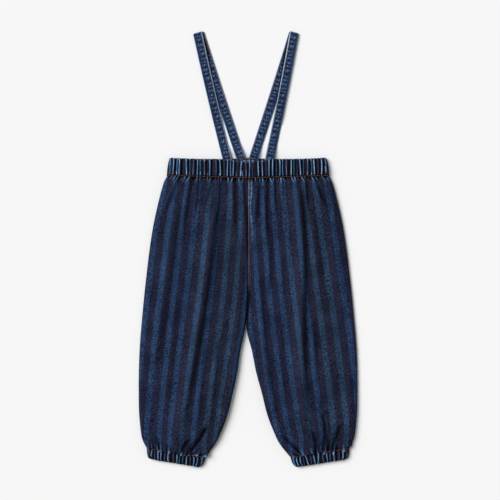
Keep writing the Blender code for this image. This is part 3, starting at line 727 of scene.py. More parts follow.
def denim(name, dark, light, worn_dark=WORN_DARK, worn_light=WORN_BLUE, yarns=YARN_TONES):
    """Striped twill that wears pale on its crests and edges, takes painted highlights on lit flanks and
    edges, and is darkened with painted shade in its creases.

    Wear, with the painted highlights that ride on it, from 0 to 1 goes to the stripe's own pale shade, and
    from 1 to 2 on to nearly white.
    """
    n = Nodes(name)
    place = n.add("ShaderNodeTexCoord").outputs["Object"]
    # the marks: the stripe, the wear with its painted highlights, and the painted shade
    stripe, wear_and_highlight, painted_shade = (n.mark(label) for label in ("stripe", "wear_and_highlight", "painted_shade"))
    # how far from the middle of the nearest light stripe, with a yarn's unevenness
    frayed = n.maths("MULTIPLY_ADD", n.noise(place, FRAYS, 2), FRAY, -FRAY / 2)
    wrapped = n.maths("PINGPONG", n.maths("ADD", stripe, frayed), 0.5)
    light_here = n.ramp(wrapped, STRIPE_HALF - STRIPE_SOFT, STRIPE_HALF + STRIPE_SOFT, 1.0, 0.0)
    # each stripe's yarn is from a dye lot of its own
    lot = n.add("ShaderNodeTexWhiteNoise", noise_dimensions="1D")
    n.put(lot.inputs["W"], n.maths("ROUND", stripe))
    tint = n.mix(lot.outputs["Value"], *DYE_LOTS)
    cloth = n.mix(1.0, n.mix(light_here, dark, light), tint, blend="MULTIPLY")
    # lighter and darker yarns, and broad clouds where the dye took unevenly
    yarn = n.ramp(n.noise(place, YARNS, 1, 0.6), 0.30, 0.70, *yarns)
    cloud = n.ramp(n.noise(place, CLOUDS, 4, 0.6), 0.3, 0.7, *CLOUD_TONES)
    mottled = n.scaled(cloth, n.maths("MULTIPLY", yarn, cloud))
    # pale wear and painted highlights, broken up by the yarns
    rubbed = n.ramp(n.noise(place, WEAR_PATCHES, 3), 0.30, 0.62, *WEAR_TONES)
    patchy = n.maths("MULTIPLY", wear_and_highlight, rubbed)
    pale = n.mix(light_here, worn_dark, worn_light)
    faded = n.mix(n.maths("ADD", patchy, 0.0, clamp=True), mottled, pale)
    faded = n.mix(n.maths("SUBTRACT", patchy, 1.0, clamp=True), faded, WORN_WHITE)
    # the twill's slanting ribs and the yarns' roughness
    twill = n.add("ShaderNodeTexWave", wave_type="BANDS", bands_direction="DIAGONAL", wave_profile="SIN")
    n.fill(twill, {"Vector": place, "Scale": 1 / TWILL_PITCH / 3, "Distortion": TWILL_BEND, "Detail": 1.0})
    ribs = n.maths("MULTIPLY", twill.outputs["Fac"], 0.5)
    bump = n.add("ShaderNodeBump")
    n.fill(bump, {"Height": n.maths("ADD", ribs, n.noise(place, RELIEF_YARNS, 4, 0.7)),
                  "Strength": RELIEF_STRENGTH, "Distance": RELIEF_DEPTH})
    # painted shade darkens the cloth towards near black in creases, furrows, holes and beside seams and
    # edges
    n.fill(n.shader, {"Base Color": n.mix(painted_shade, faded, PAINTED_SHADE_COLOUR), "Normal": bump.outputs["Normal"],
                      "Roughness": 0.9, "Specular IOR Level": 0.04,
                      "Sheen Weight": 0.02, "Sheen Roughness": 0.5})
    return n.material


PANEL_DENIM = denim("panel_denim", DARK_STRIPE, LIGHT_STRIPE)
CASING_DENIM = denim("casing_denim", CASING_DARK, CASING_LIGHT)
STRAP_DENIM = denim("strap_denim", STRAP_DARK, STRAP_LIGHT, STRAP_WORN, STRAP_WORN, STRAP_TONES)
print("denim finishes made")

# %% [markdown]
# ## Rows of a leg
#
# A leg's front is one panel from the waist to the cuff. It could be one even grid, but its gathered
# ends need rows a millimetre apart, and the plain cloth between doesn't. So the rows are close together
# near both ends and further apart between, and each is read on the curve through the table.

# %% Rows of a leg
FINE_STEP, COARSE_STEP = 0.0009, 0.0026
FINE_LENGTH = 0.030  # how far from the waist and the cuff the rows are close together
TRIES = 40  # how many places are tried for each row of a table


def steps_at(heights, rows, column):
    """The fractional row numbers at which a table's column reaches these heights, from the top down."""
    fine = np.linspace(0, len(rows) - 1, TRIES * len(rows))
    reached = read_rows(rows[:, [column]], ("y",), fine)["y"][:, 0]
    return np.interp(-heights, -reached, fine)


def leg_heights():
    """The side seam's y of every row of a front panel, close together near both ends."""
    top, foot = LEG_ROWS[0, 1], LEG_ROWS[-1, 1]
    waist = np.arange(top, top - FINE_LENGTH, -FINE_STEP)
    ankle = np.arange(foot, foot + FINE_LENGTH, FINE_STEP)[::-1]
    between = np.linspace(waist[-1], ankle[0], int((waist[-1] - ankle[0]) / COARSE_STEP))[1:-1]
    return np.concatenate([waist, between, ankle])


def leg_rows(heights):
    """The panels' rows at these heights of the side seam. The curve may not take the roll past 0 or 1."""
    row = read_rows(LEG_ROWS, LEG_COLUMNS, steps_at(heights, LEG_ROWS, 1))
    row["roll"] = np.clip(row["roll"], 0, 1)
    return row


def leg_edges(row, word):
    """The side seam and the inner edge of a leg, each as its x, y and z."""
    way = WAYS[word]
    side = way * row["side_x"], row["side_y"], row["side_z"]
    return side, (way * row[f"inner_{word}"], row["inner_y"], row["inner_z"])


print("rows of a front panel:", len(leg_heights()))

# %% [markdown]
# ## Pinches at the gathered ends
#
# Just under the waist and just above the cuffs the gathers run on into the full cloth as short pinches, and
# between them the cloth falls into small holes beside the seam, which are made black with painted shade. The
# pinches could be painted on, but then they wouldn't catch the light. So each is a straight ridge in the
# panel, which fades and widens on its way from the seam.

# %% Pinches
# Below the waist: where a pinch is at the seam and at its end in mm, how bright it is, and how long it
# is in mm. Three rows stand on a line.
PINCHES = np.array([
    (-108, -114, 0.9, 11), (-103.5, -106, 0.5, 5), (-102, -103, 1.0, 3),
    (-98.5, -101.5, 0.9, 12), (-94, -95.5, 0.9, 5), (-90, -89.5, 0.4, 5),
    (-87, -89, 0.5, 6), (-85, -86, 1.0, 14), (-79, -81.5, 0.9, 9),
    (-75.5, -76, 0.4, 4), (-68.5, -68.5, 0.7, 17), (-64.5, -64.5, 0.6, 6),
    (-59, -59, 0.3, 12), (-55, -54, 0.8, 6), (-50.5, -50.5, 0.5, 5),
    (-43.5, -44, 0.3, 12), (-40, -39.5, 0.6, 4), (-36, -37, 0.8, 17),
    (-26.5, -26.5, 1.0, 15), (-21, -22, 0.9, 7), (-16, -14, 0.2, 6),
    (-12.5, -11.5, 0.8, 8), (-6.5, -7.5, 0.8, 8), (-3, -2.5, 0.3, 5),
    (10, 10, 1.1, 4), (15.5, 16, 0.9, 11), (19.5, 20, 0.9, 9),
    (25.5, 23.5, 0.5, 7), (29.5, 33, 0.9, 12), (34.5, 33.5, 0.8, 6),
    (37.5, 37.5, 0.4, 4), (41, 40.5, 0.4, 4), (44, 44, 1.0, 17),
    (46, 49, 1.0, 5), (53.5, 54.5, 0.4, 12), (58.5, 61, 1.0, 12),
    (63, 62.5, 0.9, 6), (67, 67, 0.5, 5), (72, 75.5, 0.9, 12),
    (76.5, 78, 0.8, 5), (80.5, 81, 0.3, 8), (86, 89, 1.0, 15),
    (91, 92, 0.9, 5), (97, 98, 0.4, 4), (100, 103, 1.0, 10),
    (105, 106.5, 1.0, 7), (108.5, 110, 0.5, 4),
])
# The same above the cuffs, with the places counted from the side seam
CUFF_PINCHES = {
    "right": np.array([
        (4.5, 5.5, 0.70, 5), (8.5, 10.0, 0.90, 9), (12.5, 13.0, 0.50, 5), (15.5, 16.5, 1.00, 8),
        (20.5, 21.5, 0.80, 10), (25.5, 25.0, 0.50, 6), (30.0, 32.0, 1.10, 12), (37.0, 39.0, 0.50, 7),
        (43.0, 44.5, 0.90, 6), (46.0, 49.0, 0.70, 9), (50.5, 52.0, 0.60, 5), (55.5, 60.0, 0.90, 11),
        (60.0, 63.0, 0.50, 6), (65.0, 71.0, 1.00, 9), (69.5, 74.0, 0.60, 5), (77.0, 80.0, 0.80, 6),
    ]),
    "left": np.array([
        (5.0, 6.0, 0.70, 6), (10.0, 11.5, 1.00, 8), (15.0, 15.5, 0.50, 5), (23.5, 21.0, 1.10, 9),
        (28.5, 27.0, 0.60, 6), (32.5, 33.0, 0.90, 11), (37.0, 37.5, 0.70, 6), (41.5, 44.0, 1.00, 10),
        (49.5, 51.0, 0.90, 8), (53.5, 56.0, 0.50, 5), (60.0, 63.5, 1.00, 12), (64.0, 67.0, 0.40, 5),
        (68.0, 73.0, 0.90, 9), (72.5, 77.0, 0.90, 6), (78.0, 81.0, 0.70, 6),
    ]),
}
PINCH_TALL, PINCH_HALF, PINCH_WIDENS = 0.9 * MM, 0.60 * MM, 8.0 * MM
PINCH_WORN, PINCH_BRIGHT = 1.6, 5.5 * MM  # how pale a pinch is worn, and how far from the seam
PINCH_FADE = 1.6  # the power of the bell by which a pinch fades with its length
# the holes between the pinches are sunk a little and darkened with painted shade
WAIST_NOTCH, CUFF_NOTCH = 4.0 * MM, 6.5 * MM  # how long the black holes between the pinches are
HOLE_CLOSES = 1.9  # how soon a pinch beside it closes a hole


def pinched(table, x, away, notch):
    """Height, wear and painted shade of the pinches of a table at x, this far away from their seam.

    A pinch's line runs straight from its place at the seam to its place at its end. Its height and wear fade
    with its own length, while its width grows. Between the lines there are short holes, notch long, which
    sink the cloth a little and are darkened with painted shade.
    """
    at, end, bright, length = (MM * table.T)[:, :, None, None]
    along = away / length
    half = PINCH_HALF * (1 + away / PINCH_WIDENS)
    ridge = bright / MM * bell(x - at - (end - at) * np.clip(along, 0, 2), half)
    faded = (ridge * bell(along, 1, PINCH_FADE)).sum(axis=0)
    hole = np.clip(1 - HOLE_CLOSES * ridge.sum(axis=0), 0, 1) * bell(away, notch)
    return PINCH_TALL * (faded - hole), PINCH_WORN * faded * bell(away, PINCH_BRIGHT), hole


print("pinches:", len(PINCHES), "and", {word: len(table) for word, table in CUFF_PINCHES.items()})

# %% [markdown]
# ## Lobes over the cuffs
#
# The full leg bulges down over each cuff's seam in small lobes, and the sewing shows only between them.
# Separate bumps would look stuck on. So the rows just above the seam are pushed down, by a bell across
# each lobe and half a sine wave up it, and the panel stays one piece of cloth.

# %% Lobes
# Above the cuffs: where a lobe of the full leg hangs over the seam, in mm from the side seam, its size
# and how worn it is. Four rows stand on a line. Between the lobes the seam's stitches show.
LOBES = {
    "right": np.array([
        (5.0, 1.0, 0.7), (18.0, 1.0, 0.9), (22.5, 0.8, 0.1), (27.0, 0.9, 0.1),
        (32.0, 0.9, 0.9), (37.0, 0.8, 0.1), (42.0, 0.9, 0.1), (47.0, 0.9, 1.0),
        (52.0, 0.9, 0.0), (57.0, 0.8, 0.6), (68.0, 0.6, 1.2), (80.0, 0.6, 0.8),
    ]),
    "left": np.array([
        (1.0, 0.4, 0.5), (9.5, 1.1, 1.1), (23.0, 1.1, 1.1), (26.0, 0.6, 0.3),
        (35.0, 1.0, 0.9), (39.0, 0.7, 0.0), (43.0, 0.9, 0.8), (48.0, 0.9, 0.1),
        (53.5, 0.9, 0.1), (59.0, 1.0, 1.1), (64.0, 0.9, 0.3), (75.0, 0.8, 0.9),
    ]),
}
LOBE_HALF, LOBE_PALE_HALF = 2.4 * MM, 1.44 * MM
LOBE_OVERHANG, LOBE_LENGTH, LOBE_RISE = 0.0067, 0.0074, 0.6  # the rise is a part of the overhang
LIP_UP, LIP_HALF, LIP_WORN = 0.0038, 0.0011, 1.5  # how far above the seam a lobe is worn, and how much


def hanging(word, from_side, above):
    """How far the lobes hang over the cuff's seam, and how worn they are, just above it."""
    at, size, pale = LOBES[word].T[:, :, None, None]
    from_lobe = from_side - MM * at
    hang = (size * bell(from_lobe, LOBE_HALF)).sum(axis=0)
    sag = LOBE_OVERHANG * hang * np.sin(np.pi * np.clip(above / LOBE_LENGTH, 0, 1))
    lip = LIP_WORN * bell(above - LIP_UP, LIP_HALF)
    return sag, lip * (pale * bell(from_lobe, LOBE_PALE_HALF)).sum(axis=0)


print("lobes over the cuffs:", {word: len(table) for word, table in LOBES.items()})

# %% [markdown]
# ## Centre seam
#
# The centre seam is felled: its spare cloth is turned over to the wearer's left and stitched down. So three
# lines lie side by side, the seam's ridge, the sunk line of the stitches and the edge of the layer below.
# They are only two or three columns of the grid apart, too little for relief alone, so their wear and their
# shade are also painted into the colour.

# %% Centre seam
# How far from the seam each of its lines is, and half its width
SEAM_LINES = {"groove": (0.0006, 0.0009), "ridge": (0.0008, 0.0006), "sink": (0.0021, 0.0007),
              "fell": (0.0036, 0.0007), "beyond": (0.0064, 0.0010)}
RIDGE_TALL, FELL_TALL, SINK_DEEP = 0.0006, 0.0004, 0.0003
SWAY, SWAY_LENGTH = 0.0005, 0.071  # the slow sine that the stitching strays by
STEP_OVER, STEP_HEIGHTS = 0.0007, (0.060, 0.030)  # and how far it steps over to the left, and where
FELL_DASHES = (0.0063, 0.0101)  # the two lengths in the fell's worn dashes
PARTING_TOP, PARTING_FOOT = (-0.042, -0.062), (-0.104, -0.118)  # the heights where the legs part
PARTING_SHADE = {"right": 0.0013, "left": 0.0026}  # how far the shade of the parting reaches
LEGS_DEEPEST = 0.97


def seam_wobble(y):
    """How far the centre seam's stitching strays to +X: a slow sine and a step on the way down."""
    return SWAY * np.sin(2 * np.pi * y / SWAY_LENGTH) + STEP_OVER * smooth_step(y, *STEP_HEIGHTS)


def seam_line(name, from_seam, stray=0.0):
    """How near each point is to one of the centre seam's lines, which strays by so much: 1 if on it."""
    at, half = SEAM_LINES[name]
    return bell(from_seam - at - stray, half)


def centre_seam(from_seam, y, word):
    """Height, wear and painted shade of the felled centre seam, which is turned over to the wearer's left.

    The right leg has only the painted shade of a groove beside the seam. The left one has the seam's ridge,
    the sunk line of its stitches, darkened with painted shade, the edge of the fell, worn in dashes, and
    painted shade beyond. Where the legs part, both edges turn down into the shade between them, which is
    painted on them.
    """
    parting = smooth_step(y, *PARTING_TOP) * (1 - smooth_step(y, *PARTING_FOOT))
    shaded = LEGS_DEEPEST * parting * bell(from_seam, PARTING_SHADE[word], 3)
    if word == "right":
        # the right leg's groove is only painted shade: it adds no height
        groove = seam_line("groove", from_seam) * smooth_step(y, 0.070, 0.045)
        groove = groove * (1 - 0.6 * smooth_step(y, -0.098, -0.112))
        return 0 * groove, 0 * groove, 0.85 * groove + shaded
    wobble = seam_wobble(y)
    ridge, fell = seam_line("ridge", from_seam), seam_line("fell", from_seam, 2 * wobble)
    short, long = (np.sin(2 * np.pi * y / length) for length in FELL_DASHES)
    dashes = 0.35 + 0.7 * short + 0.5 * long
    upper = smooth_step(y, 0.000, 0.050)
    wear_and_highlight = ridge * (0.60 + 1.10 * smooth_step(y, 0.020, 0.070))
    wear_and_highlight = wear_and_highlight + 1.1 * fell * (0.4 + np.clip(dashes, 0, 1)) * upper
    # the sunk line of the stitches is darkened with painted shade
    sink = seam_line("sink", from_seam, wobble) * (0.40 + 0.25 * upper)
    beyond = 0.45 * seam_line("beyond", from_seam, 2 * wobble) * upper
    height = RIDGE_TALL * ridge + FELL_TALL * fell - SINK_DEEP * sink
    return height, wear_and_highlight * smooth_step(y, -0.070, -0.020), sink + beyond + shaded


print("lines of the centre seam:", ", ".join(SEAM_LINES))

# %% [markdown]
# ## Leg fronts
#
# The front panels are the garment's largest surface. A row's height is the panel's crown, plus the
# pinches that run down from the waist and up from the cuff, plus the long folds and a slight
# unevenness. The lobes then move the rows above the cuff, and the centre seam is added along the inner
# edge.

# %% Leg fronts
LEG_PLACES = np.linspace(0, 1, 241)
FOLDS_FROM_SEAM = 0.0060  # the long folds have their full height this far from a seam
LEG_UNEVEN = ((0.061, 0.173, 0.4), (-0.083, 0.127, 1.9), (0.037, -0.211, 4.1), (0.149, 0.094, 2.7))
LEG_UNEVEN_TALL = 0.00025
LEG_GATHER_SHARE = 0.3  # how much of the solids' gathers lifts the whole panel
# how much of the cuff tucks' wear, of the holes' painted shade and of the folds' painted shade goes into the
# panels' finish
TUCK_WORN, HOLE_SHADE, FOLD_SHADE = 0.8, 0.95, 0.85  # how much of each goes into the panels' finish


def leg_front(word):
    """The outer and inner grid of a front panel, with its marks."""
    row = leg_rows(leg_heights())
    way = WAYS[word]
    side, inner_edge = leg_edges(row, word)
    # the panel's plan, and how far across it each point is
    level = 0 * row["crown"]
    plan = pressed_half(side, inner_edge, LEG_PLACES, level, level, row["roll"], 1)[0]
    x, y = plan[..., 0], plan[..., 1]
    at = (x - side[0]) / (inner_edge[0] - side[0])
    # pinches under the waist, fading and widening on the way down
    top, foot = ({k: v[i] for k, v in row.items()} for i in (0, -1))
    below = np.maximum(top["side_y"] + (top["inner_y"] - top["side_y"]) * at - y, 0)
    pinch, pinch_worn, pinch_hole_shade = pinched(PINCHES, way * top["side_x"] * (1 - at), below, WAIST_NOTCH)
    # tucks up from the cuff
    above = np.maximum(y - (foot["side_y"] + (foot["inner_y"] - foot["side_y"]) * at), 0)
    cuff_width = np.hypot(foot["side_x"] - foot[f"inner_{word}"], foot["side_y"] - foot["inner_y"])
    from_side = at * cuff_width
    tuck, tuck_worn, tuck_hole_shade = pinched(CUFF_PINCHES[word], from_side, above, CUFF_NOTCH)
    sag, lobe_worn = hanging(word, from_side, above)
    lift, fold_shade, fold_highlight = long_folds(FOLDS[word], x, y)
    free = smooth_step(np.minimum(below, above), 0, FOLDS_FROM_SEAM)
    over = row["crown"] + row["lean"] * at + LEG_GATHER_SHARE * row["gather"] + lift * free
    over = over + LEG_UNEVEN_TALL * ripple(x, y, LEG_UNEVEN) + pinch + tuck
    outer, inner = pressed_half(side, inner_edge, LEG_PLACES, over, over - WALL, row["roll"], 1)
    seam, seam_worn, centre_seam_shade = centre_seam(np.abs(outer[..., 0] - inner_edge[0]), y, word)
    for grid in (outer, inner):
        grid[..., 2] += seam * (1 - row["roll"]) + LOBE_RISE * sag
        grid[..., 1] -= sag
    # wear with the folds' painted highlights, and painted shade in the holes, on the folds' shaded flanks
    # and along the centre seam; the lobes' worn lips clear the shade
    wear_and_highlight = pinch_worn + TUCK_WORN * tuck_worn + lobe_worn + fold_highlight + seam_worn
    painted_shade = HOLE_SHADE * (pinch_hole_shade + tuck_hole_shade) + FOLD_SHADE * fold_shade + centre_seam_shade
    painted_shade = painted_shade * (1 - np.clip(lobe_worn, 0, 1))
    marks = {"stripe": stripe_number(word, outer[..., 0], outer[..., 1]),
             "wear_and_highlight": np.clip(wear_and_highlight, 0, 2), "painted_shade": np.clip(painted_shade, 0, LEGS_DEEPEST)}
    return outer, inner, marks


FRONTS = {}
for word in WAYS:
    outer, inner, marks = leg_front(word)
    FRONTS[word] = outer
    piece = add_wall(f"leg_front_{word}_cloth", outer, inner, PANEL_DENIM, **marks)
    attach(piece, "root")
    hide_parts(f"leg_front_{word}")

# %% [markdown]
# ## Leg backs
#
# The back panels lie on the table. Only their turned edges show from above, but each is finished all over:
# the table presses its folds flat, so its outer face is level but for shallow furrows, and the other leg's
# folds give it painted shade and painted highlights.

# %% Leg backs
BACK_PLACES = np.linspace(0, 1, 81)
BACK_STEP = 0.0030
BACK_FURROW = 0.25  # a furrow's depth on the underside beside one on top
# how much of a fold's painted shade the underside takes
BACK_SHADE = 0.4  # the same for how dark it is


def leg_back(word):
    """The outer and inner grid of a back panel, with its marks. Its folds are those of the other leg."""
    top, foot = LEG_ROWS[0, 1], LEG_ROWS[-1, 1]
    heights = np.append(np.arange(top, foot, -BACK_STEP), foot)
    row = leg_rows(heights)
    columns = len(BACK_PLACES) + 2 * len(EDGE_TURN)
    at = np.broadcast_to(turned_edges(BACK_PLACES, 0, 1), (len(heights), columns))
    side, inner_edge = leg_edges(row, word)
    x, y = (start + (end - start) * at for start, end in zip(side[:2], inner_edge[:2]))
    other = "left" if word == "right" else "right"
    # the other leg's folds, mirrored, give the underside its furrows, its painted shade and its painted
    # highlights
    lift, fold_shade, fold_highlight = long_folds(FOLDS[other], -x, y)
    furrow = BACK_FURROW * np.clip(lift, 0, 1)
    outer, inner = pressed_half(side, inner_edge, BACK_PLACES, furrow, WALL, row["roll"], -1)
    marks = {"stripe": stripe_number(word, outer[..., 0], outer[..., 1]),
             "wear_and_highlight": np.clip(fold_highlight, 0, 1), "painted_shade": np.clip(BACK_SHADE * fold_shade, 0, 1)}
    return outer, inner, marks


for word in WAYS:
    outer, inner, marks = leg_back(word)
    piece = add_wall(f"leg_back_{word}_cloth", outer, inner, PANEL_DENIM, **marks)
    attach(piece, "root")
    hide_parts(f"leg_back_{word}")

# %% [markdown]
# ## Casings
#
# The waistband and the cuffs are casings: folded strips of denim with elastic inside. Both their edges
# are rounded, because one is a fold and the other turns in to its seam. What they have in common is
# here, and the band and the cuffs add what is their own.

# %% Casings
CASING_EDGE, CASING_ROUND = 0.0016, 0.85  # how far from its two edges a casing rounds off, and how much
CASING_GATHER_SHARE = 0.4  # how much of the solids' gathers lifts the whole casing
CASING_DEEPEST = 0.985
THREAD_UP = 0.0010  # how far up from a casing's seam it is topstitched
SEAM_SHADE, SEAM_DARK = 0.0010, 0.8  # how far from the thread the casing is in shade, and how dark
SCALLOP = 0.35  # how far a crest reaches past a casing's open edge beside how tall it is


def rounded_ends(rows, length):
    """How full a casing of this length is in each row: sqrt(1 - CASING_ROUND * t^2), where t goes from
    1 at either end to 0 at CASING_EDGE from it."""
    along = np.linspace(0, length, rows)
    t = 1 - np.clip(np.minimum(along, length - along) / CASING_EDGE, 0, 1)
    return np.sqrt(1 - CASING_ROUND * t**2)[:, None]


def casing_front(row, height, full, seat):
    """The outer and inner height of a casing's front half, which is nowhere thinner than half a wall."""
    over = seat + (row["crown"] + CASING_GATHER_SHARE * row["gather"] - seat + height) * full
    return np.maximum(over, seat + WALL / 2), seat


def casing_underside(height, full):
    """The height of a casing's back half where it lies on the table: level but for shallow furrows."""
    return BACK_FURROW * np.clip(-height, 0, 1) + (1 - full) * WALL / 2


print("a casing is", 1000 * CASING, "mm thick")

# %% [markdown]
# ## Waistband
#
# Relaxed, the elastic draws the band into some forty crests, tall and low. Towards the middle the front
# half dips, and the inside of the back half shows behind it. The band is some 220 mm wide and a crest
# only about 2 mm, so its grid has many columns and few rows.

# %% Waistband
BAND_PLACES = np.linspace(0, 1, 701)
BAND_LINES, BAND_LENGTH = 34, 0.025
# how strongly the band's wear and its painted shade show
BAND_WORN, BAND_SHADE = 2.0, 1.25
BAND_BACK_SHARE = 0.25  # how tall the gathers are on the inside of the back half
# The inside of the back half that shows in the opening: half its width, how far down its middle is, half
# its height, and the length of its worn patches
OPENING_HALF, OPENING_DOWN, OPENING_REACH, OPENING_PATCH = 0.014, 0.0032, 0.0013, 0.0061


def band_grid(front):
    """The outer and inner grid of one half of the waistband, with its marks."""
    steps = np.linspace(0, len(BAND_ROWS) - 1, BAND_LINES)
    row = read_rows(BAND_ROWS, BAND_COLUMNS, steps)
    at = turned_edges(BAND_PLACES, 0, 1)
    half = row["side_x"]
    x = -half + EDGE_RADIUS + at * 2 * (half - EDGE_RADIUS)
    along = np.linspace(0, 1, BAND_LINES)[:, None]
    height = gathered(x, WAIST_GATHERS, along)[0]
    full = rounded_ends(BAND_LINES, BAND_LENGTH)
    if front:
        over, under = casing_front(row, height, full, BAND_FRONT_Z)
    else:
        over = casing_underside(height, full)
        under = CASING - (1 - full) * WALL / 2 + BAND_BACK_SHARE * height * full
    middle_y = row["front_y" if front else "back_y"]
    edges = [(way * half, row["side_y"], BAND_SEAM_Z) for way in WAYS.values()]
    outer, inner = pressed_half(*edges, BAND_PLACES, over, under, 1.0, 1 if front else -1)
    wear_and_highlight, painted_shade, blue = gathered(outer[..., 0], WAIST_GATHERS, along)[1:]
    nip_worn, nip_shade, nip_blue = nipped(outer[..., 0], along)
    wear_and_highlight = wear_and_highlight * (1 - np.clip(nip_shade, 0, 1)) + nip_worn
    painted_shade, blue = painted_shade + nip_shade, np.clip(blue + nip_blue, 0, 1)
    for face in (outer, inner):
        way_in = 1 - np.abs(face[..., 0]) / half
        drop = (1 - row["dip"]) * way_in + row["dip"] * smooth_step(way_in, *BAND_DIP)
        sag = BAND_SAG * row["dip"] * np.sin(np.pi * np.clip(way_in, 0, 1))
        scallop = SCALLOP * height * smooth_step(along, 0.7, 1.0)
        face[..., 1] += (middle_y - row["side_y"]) * drop - sag + scallop
    from_seam = row["side_y"] - row["side_y"][0]
    from_top = from_seam[-1] - from_seam
    # painted shade above and below the thread
    seam_shade = SEAM_DARK * bell(from_seam - THREAD_UP, SEAM_SHADE)
    painted_shade = painted_shade * smooth_step(from_top, -0.001, 0.002) + seam_shade
    wear_and_highlight = wear_and_highlight * (1 - seam_shade)
    if not front:
        # the inside of the back half shows in the opening, worn pale in patches
        opening = bell(x, OPENING_HALF, 4) * bell(from_top - OPENING_DOWN, OPENING_REACH)
        patches = np.clip(0.6 + 0.6 * np.sin(2 * np.pi * x / OPENING_PATCH + 1.1), 0, 1)
        wear_and_highlight, painted_shade = wear_and_highlight * 0.5 + 0.5 * opening * patches, painted_shade * (1 - opening)
        blue = np.maximum(blue, opening)
    marks = {"stripe": 0.5 - 0.5 * blue, "wear_and_highlight": np.clip(BAND_WORN * wear_and_highlight, 0, 2),
             "painted_shade": np.clip(BAND_SHADE * painted_shade, 0, CASING_DEEPEST)}
    return outer, inner, marks


BANDS = {}
for half_name, is_front in (("front", True), ("back", False)):
    outer, inner, marks = band_grid(is_front)
    BANDS[half_name] = (outer, inner)
    piece = add_wall(f"waistband_{half_name}_cloth", outer, inner, CASING_DENIM, **marks)
    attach(piece, "root")
    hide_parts(f"waistband_{half_name}")

# %% [markdown]
# ## Cuffs
#
# A cuff is a smaller casing. Its crests run from the seam to the open edge, and its lower corners are
# round. Two halves lie on each other.

# %% Cuffs
CUFF_PLACES = np.linspace(0, 1, 201)
CUFF_LINES, CUFF_LENGTH = 26, 0.017
CUFF_TALL = 0.9  # how tall the cuffs' gathers are beside the band's
# how strongly the cuffs' wear and their painted shade show
CUFF_WORN, CUFF_SHADE = 1.7, 1.4


def cuff_grid(word, front):
    """The outer and inner grid of one half of a cuff, with its marks."""
    steps = np.linspace(0, len(CUFF_ROWS) - 1, CUFF_LINES)
    row = read_rows(CUFF_ROWS, CUFF_COLUMNS, steps)
    at = turned_edges(CUFF_PLACES, 0, 1)
    width = np.hypot(row["side_x"] - row["inner_x"], row["side_y"] - row["inner_y"])
    from_side = (EDGE_RADIUS + at * (width - 2 * EDGE_RADIUS)) * width[0] / width
    along = np.linspace(1, 0, CUFF_LINES)[:, None]
    height = gathered(from_side, CUFF_GATHERS[word], along)[0]
    full = rounded_ends(CUFF_LINES, CUFF_LENGTH)
    if front:
        over, under = casing_front(row, CUFF_TALL * height, full, CUFF_FRONT_Z)
    else:
        over, under = casing_underside(height, full), CASING
    way = WAYS[word]
    edge_a = way * row["side_x"], row["side_y"], CUFF_SEAM_Z
    edge_b = way * row["inner_x"], row["inner_y"], CUFF_SEAM_Z
    outer, inner = pressed_half(edge_a, edge_b, CUFF_PLACES, over, under, 1.0, 1 if front else -1)
    from_side = (outer[..., 0] - edge_a[0]) / (edge_b[0] - edge_a[0]) * width[0]
    wear_and_highlight, painted_shade, blue = gathered(from_side, CUFF_GATHERS[word], along)[1:]
    for face in (outer, inner):
        face[..., 1] -= SCALLOP * np.clip(height, -MM, MM) * smooth_step(along, 0.3, 0.0)
    # painted shade above and below the thread
    seam_shade = SEAM_DARK * bell(row["side_y"][0] - row["side_y"] - THREAD_UP, SEAM_SHADE)
    wear_and_highlight, painted_shade = CUFF_WORN * wear_and_highlight * (1 - seam_shade), CUFF_SHADE * painted_shade + seam_shade
    marks = {"stripe": 0.5 - 0.5 * blue, "wear_and_highlight": np.clip(wear_and_highlight, 0, 2),
             "painted_shade": np.clip(painted_shade, 0, CASING_DEEPEST)}
    return outer, inner, marks


CUFFS = {}
for word in WAYS:
    for half_name, is_front in (("front", True), ("back", False)):
        outer, inner, marks = cuff_grid(word, is_front)
        CUFFS[word, half_name] = outer
        piece = add_wall(f"cuff_{half_name}_{word}_cloth", outer, inner, CASING_DENIM, **marks)
        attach(piece, "root")
        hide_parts(f"cuff_{half_name}_{word}")

# %% [markdown]
# ## Straps
#
# Each strap is one strip of folded denim, stitched along the edge nearer the middle of the garment. It comes
# out from inside the front of the waist, turns over at the top and runs back down underneath to the back of
# the waist. The stitching draws it up, so it has a row of small cross puckers, some 6 mm apart. Both edges
# wear pale, the stitched one most, and a highlight is painted on it too.
#
# The strip is a profile carried along a path. At each step of the path there is a heading, and how
# far the strip has turned over, from 0 on the front run to half a turn on the back run.

# %% Paths of the straps
STRAP_WIDTH, STRAP_WALL = 0.0123, 0.0015
# For each run where it meets the waist and how far it bows, then the fold and how far it is askew in x
STRAPS = {
    "right": {"front": (-0.0287, -0.0008), "back": (-0.0098, -0.0004),
              "fold": (-0.0687, 0.2946), "askew": 0.0034},
    "left": {"front": (0.0295, 0.0008), "back": (0.0073, 0.0004),
             "fold": (0.0629, 0.2948), "askew": -0.0012},
}
WAIST_TOP = 0.1249
FRONT_TUCK, BACK_TUCK = 0.015, 0.0025  # how far the runs go on inside the waist
STRAP_WAIST_Z, STRAP_FRONT_Z, STRAP_BACK_Z = 0.00405, 0.00255, 0.00082
# How far from the waist a run comes down to the table, and where the front run rises onto the back one
SETTLE, MEET = (0.001, 0.022), (0.042, 0.058)
STRAP_STEP, FOLD_STEPS = 0.0009, 13


